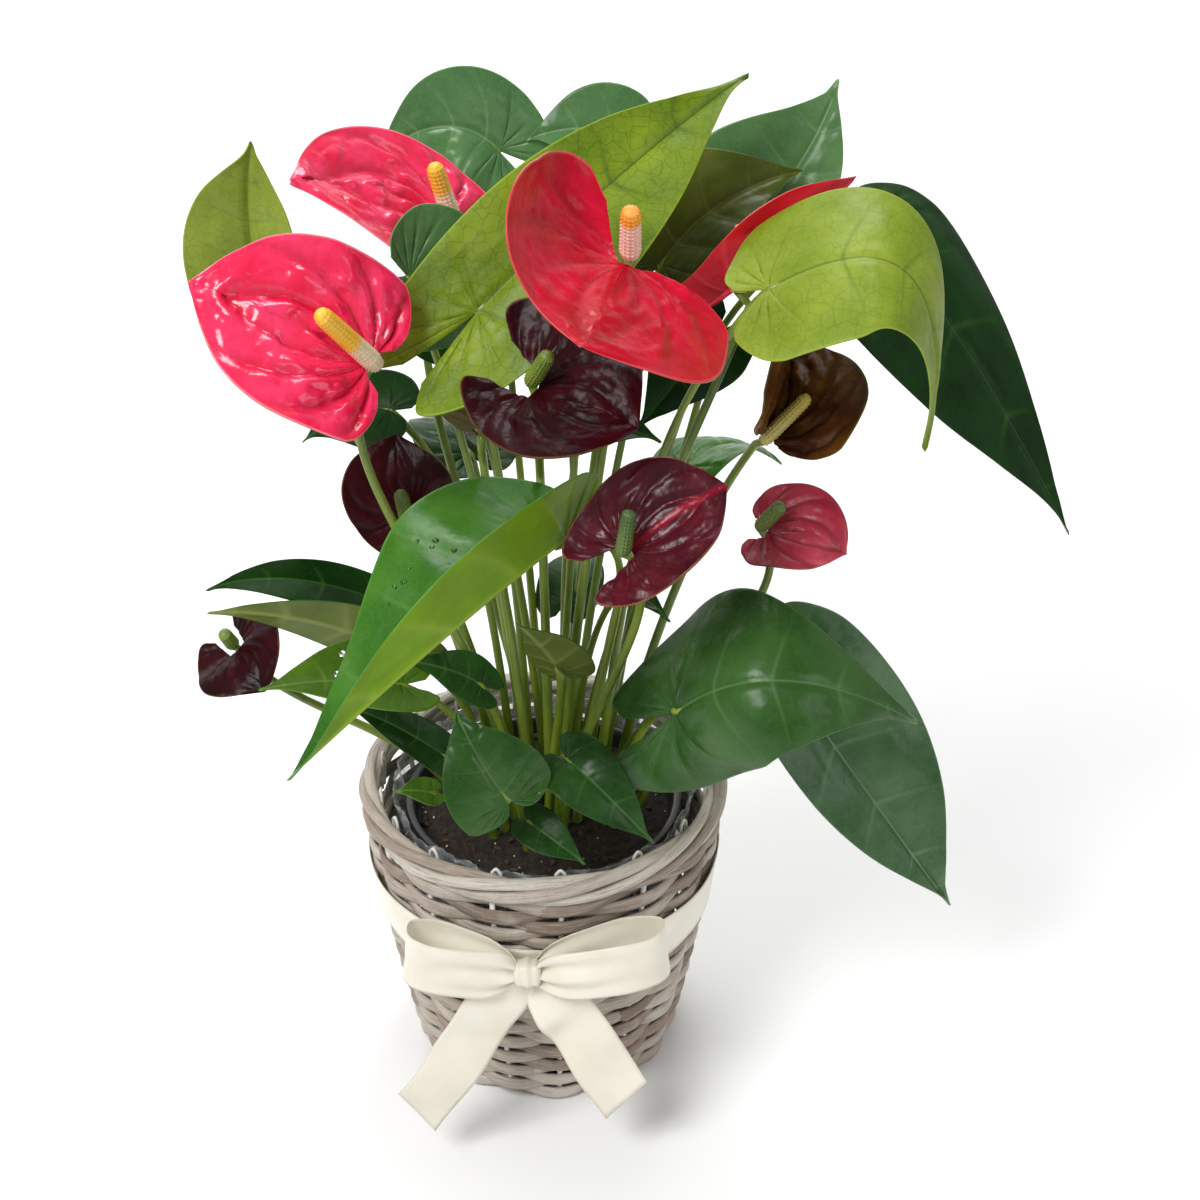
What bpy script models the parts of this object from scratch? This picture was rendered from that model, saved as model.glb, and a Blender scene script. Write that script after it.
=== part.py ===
"""An anthurium in a woven willow basket: basket, film liner, nursery pot, soil, plant and satin bow.

Lengths in this file are millimetres, turned into Blender's metres where a mesh is made. +Z is up and -Y
is the side with the bow. The origin is the centre of the basket's base, on the surface it stands on.
"""

import math

import bmesh
import bpy
from mathutils import Vector

MM = 0.001

# Basket
BASKET_HEIGHT = 140.0
RIM_RADIUS = 80.0
FOOT_RADIUS = 59.0
WALL_BELLY = 2.0  # how far the wall swells past a straight cone at half its height
WALL_THICKNESS = 5.0
BORDER_HEIGHT = 16.0
BORDER_RODS = 3
BORDER_WIDTH = 7.0
BOARD_THICKNESS = 4.0
STAKE_COUNT = 16
STAKE_RADIUS = 1.0
HOOP_HEIGHT = 7.0

# Liner, pot and soil
FILM_THICKNESS = 0.6
FILM_BELOW_RIM = 7.0
FILM_WAVES = 9
FILM_WAVE_DEPTH = 1.6
POT_RADIUS = 60.0
POT_FOOT_RADIUS = 43.0
POT_BELOW_RIM = 14.0
POT_WALL = 1.6
LIP_WIDTH = 2.4
LIP_HEIGHT = 8.0
DRAIN_COUNT = 6
DRAIN_RADIUS = 4.0
SOIL_BELOW_LIP = 8.0

# Plant
PLAN_SOIL_TOP = 118.0  # the soil's top in the planting plan, whose points move with the real one
CROWN = (3.0, 10.0)  # where the stalks spread from, seen from above
SPREAD_DEPTH = 55.0  # how far below the soil's top the stalks' lines would meet
FARTHEST_FOOT = 40.0
PETIOLE_RADIUS = 1.5
STALK_RADIUS = 1.7
FOOT_SWELL = 0.7
FOOT_UPRIGHT = 2.0  # how far a stalk stands straight up before it leans
STALK_STEPS = 7
MERGE_LENGTH = 4.0  # how far a petiole runs on under its blade
NOTCH = 3.2  # half the gap between a spathe's lobes where its stalk passes
NECK_LENGTH = 3.5  # how far a flower's stalk runs straight on either side of its spathe
BLADE_THICKNESS = 1.0
SMALL_HALF = 16.0  # a blade no wider than this on either side needs one row of faces a side
SPADIX_RADIUS = 3.6

# Ribbon
RIBBON_WIDTH = 25.0
RIBBON_THICKNESS = 0.8
BAND_MIDDLE = 91.0
BAND_CLEARANCE = 1.0

GAP = 0.3  # between pieces that touch
ROUND_STEPS = 36

FILM_TOP = BASKET_HEIGHT - FILM_BELOW_RIM
POT_TOP = BASKET_HEIGHT - POT_BELOW_RIM
SOIL_TOP = POT_TOP - SOIL_BELOW_LIP
PLANT_RISE = Vector((0, 0, SOIL_TOP - PLAN_SOIL_TOP))
BORDER_BOTTOM = BASKET_HEIGHT - BORDER_HEIGHT

# Half outlines from the tip round to the joint: share of the midrib's length, share of the half width
LEAF_OUTLINE = (
    (1.0, 0.0), (0.9, 0.1), (0.76, 0.36), (0.56, 0.72), (0.34, 0.95), (0.12, 1.0),
    (-0.08, 0.9), (-0.2, 0.66), (-0.25, 0.4), (-0.2, 0.16),
)
SPATHE_OUTLINE = (
    (1.0, 0.0), (0.95, 0.13), (0.84, 0.42), (0.66, 0.76), (0.42, 0.97), (0.18, 1.0),
    (-0.06, 0.9), (-0.2, 0.68), (-0.25, 0.45), (-0.2, 0.26),
)


def clear_scene():
    for old in list(bpy.data.objects):
        bpy.data.objects.remove(old, do_unlink=True)


def material(name, colour, roughness, metallic=0.0):
    made = bpy.data.materials.new(name)
    made.use_nodes = True
    shader = made.node_tree.nodes["Principled BSDF"]
    shader.inputs["Base Color"].default_value = (*colour, 1.0)
    shader.inputs["Roughness"].default_value = roughness
    shader.inputs["Metallic"].default_value = metallic
    return made


def add_object(name, shape, look=None):
    """An object made from a bmesh in millimetres."""
    shape.normal_update()
    bmesh.ops.scale(shape, vec=(MM, MM, MM), verts=shape.verts)
    mesh = bpy.data.meshes.new(name)
    shape.to_mesh(mesh)
    shape.free()
    mesh.shade_smooth()
    mesh.set_sharp_from_angle(angle=math.radians(35))
    made = bpy.data.objects.new(name, mesh)
    bpy.context.scene.collection.objects.link(made)
    if look:
        mesh.materials.append(look)
    return made


def boolean(target, tool, operation):
    """Joins or cuts with a helper object, which stays out of the render."""
    tool.hide_render = True
    tool.display_type = "WIRE"
    step = target.modifiers.new(operation.title(), "BOOLEAN")
    step.operation = operation
    step.object = tool
    step.solver = "EXACT"
    step.use_self = operation == "UNION"


def turned(profile, steps=ROUND_STEPS, shift=None):
    """A closed turned shape from (radius, height) points. Points on the axis make one vertex each."""
    shape = bmesh.new()
    rings = []
    for radius, height in profile:
        if radius == 0:
            rings.append([shape.verts.new((0, 0, height))] * steps)
            continue
        ring = []
        for step in range(steps):
            angle = math.tau * step / steps
            out = radius + (shift(angle, height) if shift else 0.0)
            ring.append(shape.verts.new((out * math.cos(angle), out * math.sin(angle), height)))
        rings.append(ring)
    for low, high in zip(rings, rings[1:] + rings[:1]):
        for step in range(steps):
            after = (step + 1) % steps
            corners = dict.fromkeys((low[step], low[after], high[after], high[step]))
            if len(corners) > 2:
                shape.faces.new(corners)
    bmesh.ops.recalc_face_normals(shape, faces=shape.faces)
    return shape


def tube(points, radii, sides=5):
    """A closed tube through points, with its own radius at each."""
    shape = bmesh.new()
    across = Vector((1, 0, 0))
    rings = []
    for index, point in enumerate(points):
        ahead = points[min(index + 1, len(points) - 1)] - points[max(index - 1, 0)]
        ahead.normalize()
        across = (across - ahead * across.dot(ahead)).normalized()
        other = ahead.cross(across)
        ring = []
        for side in range(sides):
            angle = math.tau * side / sides
            out = across * math.cos(angle) + other * math.sin(angle)
            ring.append(shape.verts.new(point + out * radii[index]))
        rings.append(ring)
    for low, high in zip(rings, rings[1:]):
        for side in range(sides):
            after = (side + 1) % sides
            shape.faces.new((low[side], low[after], high[after], high[side]))
    shape.faces.new(rings[0][::-1])
    shape.faces.new(rings[-1])
    return shape


def bezier(ends, share):
    """A point on the Bezier curve through a list of control points."""
    while len(ends) > 1:
        ends = [one.lerp(two, share) for one, two in zip(ends, ends[1:])]
    return ends[0]


# ---------------------------------------------------------------- basket


def wall_radius(height):
    share = height / BASKET_HEIGHT
    cone = FOOT_RADIUS + (RIM_RADIUS - FOOT_RADIUS) * share
    return cone + WALL_BELLY * math.sin(math.pi * min(max(share, 0.0), 1.0))


def heights(low, high, count):
    return [low + (high - low) * step / count for step in range(count + 1)]


def basket_wall(look):
    levels = heights(0.0, BORDER_BOTTOM - GAP, 4)
    outer = [(wall_radius(z), z) for z in levels]
    inner = [(wall_radius(z) - WALL_THICKNESS, z) for z in levels]
    add_object("basket_wall", turned(outer + inner[::-1]), look)


def basket_border(look):
    """The rolled border: rods laid round the rim, one above the other."""
    rod = BORDER_HEIGHT / BORDER_RODS
    groove = BORDER_WIDTH * 0.15
    outer = [(wall_radius(BORDER_BOTTOM) - groove, BORDER_BOTTOM)]
    for index in range(BORDER_RODS):
        middle = BORDER_BOTTOM + rod * (index + 0.5)
        outer.append((wall_radius(middle), middle))
        outer.append((wall_radius(middle + rod / 2) - groove, middle + rod / 2))
    inner = [(wall_radius(z) - BORDER_WIDTH, z) for z in heights(BORDER_BOTTOM, BASKET_HEIGHT, 2)]
    add_object("basket_border", turned(outer + inner[::-1]), look)


def basket_base(look):
    radius = wall_radius(0.0) - WALL_THICKNESS - GAP
    profile = [(0, 0), (radius, 0), (radius, BOARD_THICKNESS), (0, BOARD_THICKNESS)]
    add_object("basket_base", turned(profile), look)


def inner_radius(height):
    """The basket's inside, where the border is the thicker part."""
    depth = BORDER_WIDTH if height > BORDER_BOTTOM - 4.0 else WALL_THICKNESS
    return wall_radius(height) - depth


def basket_stakes(look):
    """Coated wires up the inside of the wall, on a hoop round the foot."""
    stand_off = STAKE_RADIUS + GAP
    hoop_radius = inner_radius(HOOP_HEIGHT) - stand_off
    hoop = []
    for step in range(4):
        angle = math.tau * step / 4
        out, rise = STAKE_RADIUS * math.cos(angle), STAKE_RADIUS * math.sin(angle)
        hoop.append((hoop_radius + out, HOOP_HEIGHT + rise))
    frame = add_object("basket_stakes", turned(hoop), look)
    belly = BASKET_HEIGHT * 0.45
    levels = (HOOP_HEIGHT, belly, BORDER_BOTTOM - 8.0, BORDER_BOTTOM - 2.0, BASKET_HEIGHT - 1.0)
    for index in range(STAKE_COUNT):
        angle = math.tau * (index + 0.5) / STAKE_COUNT
        line = []
        for z in levels:
            out = inner_radius(z) - stand_off
            line.append(Vector((out * math.cos(angle), out * math.sin(angle), z)))
        wire = add_object(f"stake_wire_{index}", tube(line, [STAKE_RADIUS] * len(line), 4))
        boolean(frame, wire, "UNION")


# ---------------------------------------------------------------- liner, pot and soil


def pot_outside(height):
    bottom = BOARD_THICKNESS + 2 * GAP + FILM_THICKNESS
    share = (height - bottom) / (POT_TOP - bottom)
    return POT_FOOT_RADIUS + (POT_RADIUS - LIP_WIDTH - POT_FOOT_RADIUS) * share


def film_liner(look):
    """A crumpled film bag between the pot and the basket, open at the top."""
    bottom = BOARD_THICKNESS + GAP
    foot = (POT_FOOT_RADIUS + wall_radius(0.0) - WALL_THICKNESS) / 2
    top = (POT_RADIUS + wall_radius(FILM_TOP) - BORDER_WIDTH - 2 * STAKE_RADIUS - GAP) / 2

    def crumple(angle, height):
        share = (height - bottom) / (FILM_TOP - bottom)
        return FILM_WAVE_DEPTH * share * math.sin(FILM_WAVES * angle)

    levels = heights(bottom + 3.0, FILM_TOP, 2)
    outer = [(foot + (top - foot) * (z - bottom) / (FILM_TOP - bottom), z) for z in levels]
    inner = [(radius - FILM_THICKNESS, z) for radius, z in outer]
    profile = [(0, bottom), (foot - 2.0, bottom), *outer, *inner[::-1]]
    profile += [(foot - 2.5, bottom + FILM_THICKNESS), (0, bottom + FILM_THICKNESS)]
    add_object("film_liner", turned(profile, 4 * FILM_WAVES, crumple), look)


def nursery_pot(look):
    bottom = BOARD_THICKNESS + 2 * GAP + FILM_THICKNESS
    lip = POT_TOP - LIP_HEIGHT
    profile = [
        (0, bottom), (pot_outside(bottom), bottom), (pot_outside(lip), lip),
        (POT_RADIUS, lip), (POT_RADIUS, POT_TOP), (pot_outside(POT_TOP) - POT_WALL, POT_TOP),
        (pot_outside(bottom + POT_WALL) - POT_WALL, bottom + POT_WALL), (0, bottom + POT_WALL),
    ]
    pot = add_object("nursery_pot", turned(profile), look)
    for index in range(DRAIN_COUNT):
        angle = math.tau * (index + 0.4) / DRAIN_COUNT
        middle = Vector((math.cos(angle), math.sin(angle), 0)) * POT_FOOT_RADIUS * 0.65
        ends = [middle + Vector((0, 0, bottom - 0.2)), middle + Vector((0, 0, bottom + POT_WALL + 0.15))]
        drill = add_object(f"drain_cutter_{index}", tube(ends, [DRAIN_RADIUS] * 2, 10))
        boolean(pot, drill, "DIFFERENCE")


def soil(look):
    bottom = BOARD_THICKNESS + 2 * GAP + FILM_THICKNESS + POT_WALL + GAP
    inside = POT_WALL + GAP
    profile = [
        (0, bottom), (pot_outside(bottom) - inside, bottom), (pot_outside(SOIL_TOP) - inside, SOIL_TOP),
        (0, SOIL_TOP),
    ]
    add_object("soil", turned(profile), look)


# ---------------------------------------------------------------- leaves and spathes


class Blade:
    """A curved blade: a midrib through joint, middle and tip, and two halves that fold and curl off it.

    face is the way the upper side looks halfway along. left and right are the half widths seen from that
    side with the tip away from the viewer. fold and curl are degrees: how steeply each half leaves the
    midrib, and how much more it turns by its edge. lift raises the lobes behind the joint, and lobe scales
    how far they run on behind it.
    """

    STEPS = 32

    def __init__(self, joint, middle, tip, face, left, right, fold, curl, lift, lobe=1.0):
        start, through, end = (Vector(point) + PLANT_RISE for point in (joint, middle, tip))
        self.curve = [start, through * 2 - (start + end) / 2, end]
        self.points = [bezier(self.curve, step / self.STEPS) for step in range(self.STEPS + 1)]
        self.length = sum((b - a).length for a, b in zip(self.points, self.points[1:]))
        self.half = (left, right)
        self.fold = [math.radians(angle) for angle in fold]
        self.curl = [math.radians(angle) or 1e-4 for angle in curl]
        self.lift = lift
        self.lobe = lobe
        self.frames = self.carry_frames(Vector(face))

    def carry_frames(self, face):
        """(forward, right, normal) along the midrib, the normal carried from the middle to both ends."""
        ahead = [
            (self.points[min(i + 1, self.STEPS)] - self.points[max(i - 1, 0)]).normalized()
            for i in range(self.STEPS + 1)
        ]
        normals = [None] * (self.STEPS + 1)
        middle = self.STEPS // 2
        for order in (range(middle, self.STEPS + 1), range(middle, -1, -1)):
            normal = face
            for i in order:
                normal = (normal - ahead[i] * normal.dot(ahead[i])).normalized()
                normals[i] = normal
        return [(forward, forward.cross(normal), normal) for forward, normal in zip(ahead, normals)]

    def place(self, along, across):
        """The point on the upper side at a share along the midrib and a signed share of the half width."""
        side = 1 if across > 0 else 0
        spot = min(max(along, 0.0), 1.0) * self.STEPS
        index = min(int(spot), self.STEPS - 1)
        share = spot - index
        base = self.points[index].lerp(self.points[index + 1], share)
        frames = zip(self.frames[index], self.frames[index + 1])
        forward, right, normal = (one.lerp(two, share) for one, two in frames)
        width = abs(across)
        reach = self.half[side]
        fold, curl = self.fold[side], self.curl[side]
        out = reach / curl * (math.sin(fold + curl * width) - math.sin(fold))
        up = reach / curl * (math.cos(fold) - math.cos(fold + curl * width))
        if along < 0:
            base = base + forward * along * self.length
            up += self.lift * self.length * along**2
        return base + right * math.copysign(out, across) + normal * up

    def steps_across(self):
        return 2 if max(self.half) > SMALL_HALF else 1

    def sheet(self, outline, steps_across, notch=0.0):
        """The upper side as a grid of faces, from the tip round both halves to the joint.

        Each row of faces runs from the midrib to the outline, and the lobes' rows fan out from the joint.
        With a notch they fan out from its two corners, beside the joint.
        """
        shape = bmesh.new()
        spine = {}

        def rib(along):
            key = round(along, 4)
            if key not in spine:
                spine[key] = shape.verts.new(self.place(key, 0.0))
            return spine[key]

        for side in (0, 1):
            sign = 1 if side else -1
            gap = notch / self.half[side]
            corner = shape.verts.new(self.place(0.0, sign * gap)) if notch else None
            rows = []
            for along, width in outline:
                along *= self.lobe if along < 0 else 1.0
                foot = max(0.0, along - 0.25 * width * sum(self.half) / self.length)
                start = gap if along < 0 else 0.0
                row = [corner if start else rib(foot)]
                for step in range(1, steps_across + 1):
                    share = step / steps_across
                    if width == 0:
                        row.append(row[0])
                        continue
                    spot = foot + (along - foot) * share
                    row.append(shape.verts.new(self.place(spot, sign * (start + (width - start) * share))))
                rows.append(row)
            for one, two in zip(rows, rows[1:]):
                for step in range(steps_across):
                    corners = [one[step], one[step + 1], two[step + 1], two[step]]
                    corners = list(dict.fromkeys(corners if side else corners[::-1]))
                    if len(corners) > 2:
                        shape.faces.new(corners)
        return shape


def foot_of(head, nudge):
    """Where a stalk leaves the soil: on the line from its head to the point below the crown."""
    head = Vector(head)
    away = Vector((head.x - CROWN[0], head.y - CROWN[1]))
    away *= SPREAD_DEPTH / (SPREAD_DEPTH + head.z - SOIL_TOP)
    if away.length > FARTHEST_FOOT:
        away *= FARTHEST_FOOT / away.length
    return Vector((CROWN[0] + away.x + nudge[0], CROWN[1] + away.y + nudge[1], SOIL_TOP + GAP))


def stalk_line(foot, head, arrive):
    """A stalk stands up out of the soil, then bends to reach its head along the arrive vector."""
    upright = foot + Vector((0, 0, FOOT_UPRIGHT))
    span = (head - upright).length
    lean = (head - upright).normalized()
    start = (Vector((0, 0, 1)) + lean).normalized()
    ends = [upright, upright + start * span * 0.4, head - Vector(arrive).normalized() * span * 0.3, head]
    return [foot] + [bezier(ends, step / STALK_STEPS) for step in range(STALK_STEPS + 1)]


def stalk_radii(radius):
    swell = [FOOT_SWELL * (1 - step / STALK_STEPS) for step in range(STALK_STEPS + 1)]
    return [radius + more for more in [FOOT_SWELL, *swell]]


def leaf(name, look, arrive=(0, 0, 1), nudge=(0, 0), **form):
    blade = Blade(**form)
    made = add_object(name, blade.sheet(LEAF_OUTLINE, blade.steps_across()), look)
    thicken = made.modifiers.new("Thickness", "SOLIDIFY")
    thicken.thickness = BLADE_THICKNESS * MM
    thicken.offset = -1
    joint = blade.points[0]
    head = joint - blade.frames[0][2] * BLADE_THICKNESS * 0.5
    line = stalk_line(foot_of(joint, nudge), head, arrive)
    forward, _, normal = blade.frames[0]
    if forward.dot(Vector(arrive)) > 0:
        line.append(head + forward * MERGE_LENGTH - normal * BLADE_THICKNESS / 2)
    else:
        line.append(head + Vector(arrive).normalized() * BLADE_THICKNESS)
    radii = stalk_radii(PETIOLE_RADIUS) + [PETIOLE_RADIUS * 0.6]
    petiole = add_object(f"{name}_petiole", tube(line, radii))
    boolean(made, petiole, "UNION")


def flower(name, looks, spadix, arrive=None, nudge=(0, 0), notch=NOTCH, girth=1.0, **form):
    """A spathe, and the stalk that passes through its notch and ends in the spadix."""
    blade = Blade(**form)
    shape = blade.sheet(SPATHE_OUTLINE, blade.steps_across(), notch)
    made = add_object(f"spathe_{name}", shape, looks["spathe"])
    thicken = made.modifiers.new("Thickness", "SOLIDIFY")
    thicken.thickness = BLADE_THICKNESS * MM
    thicken.offset = -1
    forward, _, normal = blade.frames[0]
    joint = blade.points[0]
    node = joint - forward * (STALK_RADIUS + 4 * GAP) - normal * BLADE_THICKNESS / 2
    arrive = Vector(arrive) if arrive else normal + Vector((0, 0, 0.5))
    line = stalk_line(foot_of(joint, nudge), node - normal * NECK_LENGTH, arrive)
    line.append(node + normal * NECK_LENGTH / 2)
    radii = stalk_radii(STALK_RADIUS) + [STALK_RADIUS]
    top = joint + Vector(spadix)
    base = node + normal * NECK_LENGTH
    for share, width in ((0.0, 0.7), (0.12, 1.0), (0.6, 0.95), (0.92, 0.7), (1.0, 0.3)):
        line.append(base.lerp(top, share))
        radii.append(SPADIX_RADIUS * girth * width)
    add_object(f"stalk_{name}", tube(line, radii), looks["stalk"])


# ---------------------------------------------------------------- ribbon


def ribbon_radius(height):
    return wall_radius(height) + BAND_CLEARANCE


def ribbon_band(look):
    low, high = BAND_MIDDLE - RIBBON_WIDTH / 2, BAND_MIDDLE + RIBBON_WIDTH / 2
    inner = [(ribbon_radius(z), z) for z in (low, BAND_MIDDLE, high)]
    outer = [(radius + RIBBON_THICKNESS, z) for radius, z in inner]
    add_object("ribbon_band", turned(outer + inner[::-1]), look)


def ribbon_strip(name, line, sideways, look, width=RIBBON_WIDTH, slant=0.0):
    """A flat length of ribbon along a line. slant runs one edge of its far end on, for a diagonal cut."""
    shape = bmesh.new()
    rows = []
    for index, (point, way) in enumerate(zip(line, sideways)):
        ahead = (point - line[index - 1]).normalized() if index == len(line) - 1 else Vector()
        half = Vector(way).normalized() * width / 2
        rows.append((shape.verts.new(point - half), shape.verts.new(point + half + ahead * slant)))
    for one, two in zip(rows, rows[1:]):
        shape.faces.new((one[0], one[1], two[1], two[0]))
    made = add_object(name, shape, look)
    thicken = made.modifiers.new("Thickness", "SOLIDIFY")
    thicken.thickness = RIBBON_THICKNESS * MM
    thicken.offset = 0
    return made


def bow(look):
    """A knot on the front of the band, two loops and two tails with slanted ends."""
    front = -(ribbon_radius(BAND_MIDDLE + RIBBON_WIDTH / 2) + RIBBON_THICKNESS)
    knot_depth, knot_width, knot_height = 11.0, 15.0, 19.0
    knot = Vector((-5.0, front - GAP - knot_depth / 2, BAND_MIDDLE + 6.0))
    shape = bmesh.new()
    bmesh.ops.create_cube(shape, size=1.0)
    bmesh.ops.scale(shape, vec=(knot_width, knot_depth, knot_height), verts=shape.verts)
    bmesh.ops.bevel(shape, geom=shape.edges, offset=3.0, segments=2, affect="EDGES", profile=0.6)
    bmesh.ops.translate(shape, vec=knot, verts=shape.verts)
    add_object("bow_knot", shape, look)

    edge = knot_width / 2 + GAP
    loops = (("bow_loop_left", -1, 50.0, 9.0), ("bow_loop_right", 1, 57.0, 11.0))
    for name, side, reach, rise in loops:
        loop = (
            (0, -1.5), (0.35, -5.5), (0.7, -6), (0.93, -2.5), (1, 4), (0.93, 10), (0.7, 11), (0.35, 6.0),
            (0, 2.5),
        )
        line = [
            knot + Vector((side * (edge + (reach - edge) * share), depth, rise * share))
            for share, depth in loop
        ]
        ribbon_strip(name, line, [(0, 0, 1)] * len(line), look)

    # Points of the tails: ribbon widths beside the knot, then how far before the band and below the start
    start = knot.z - RIBBON_WIDTH / 2 - 2.3
    left = [(-0.56, 5.2, 0), (-0.88, 8.2, 12), (-1.24, 12.2, 27), (-1.56, 15.2, 40), (-1.8, 17.2, 49)]
    right = [(0.56, 5.2, 0), (0.76, 8.2, 12), (1.08, 11.2, 26), (1.44, 14.2, 40), (1.72, 16.2, 51)]
    for name, points, way, slant in (
        ("ribbon_tail_left", left, (1, 0.1, -0.6), 9.0),
        ("ribbon_tail_right", right, (1, 0.1, 0.5), -8.0),
    ):
        line = [
            Vector((knot.x + aside * RIBBON_WIDTH, front - before, start - down))
            for aside, before, down in points
        ]
        ribbon_strip(name, line, [Vector(way)] * len(line), look, slant=slant)


# ---------------------------------------------------------------- planting plan

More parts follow.
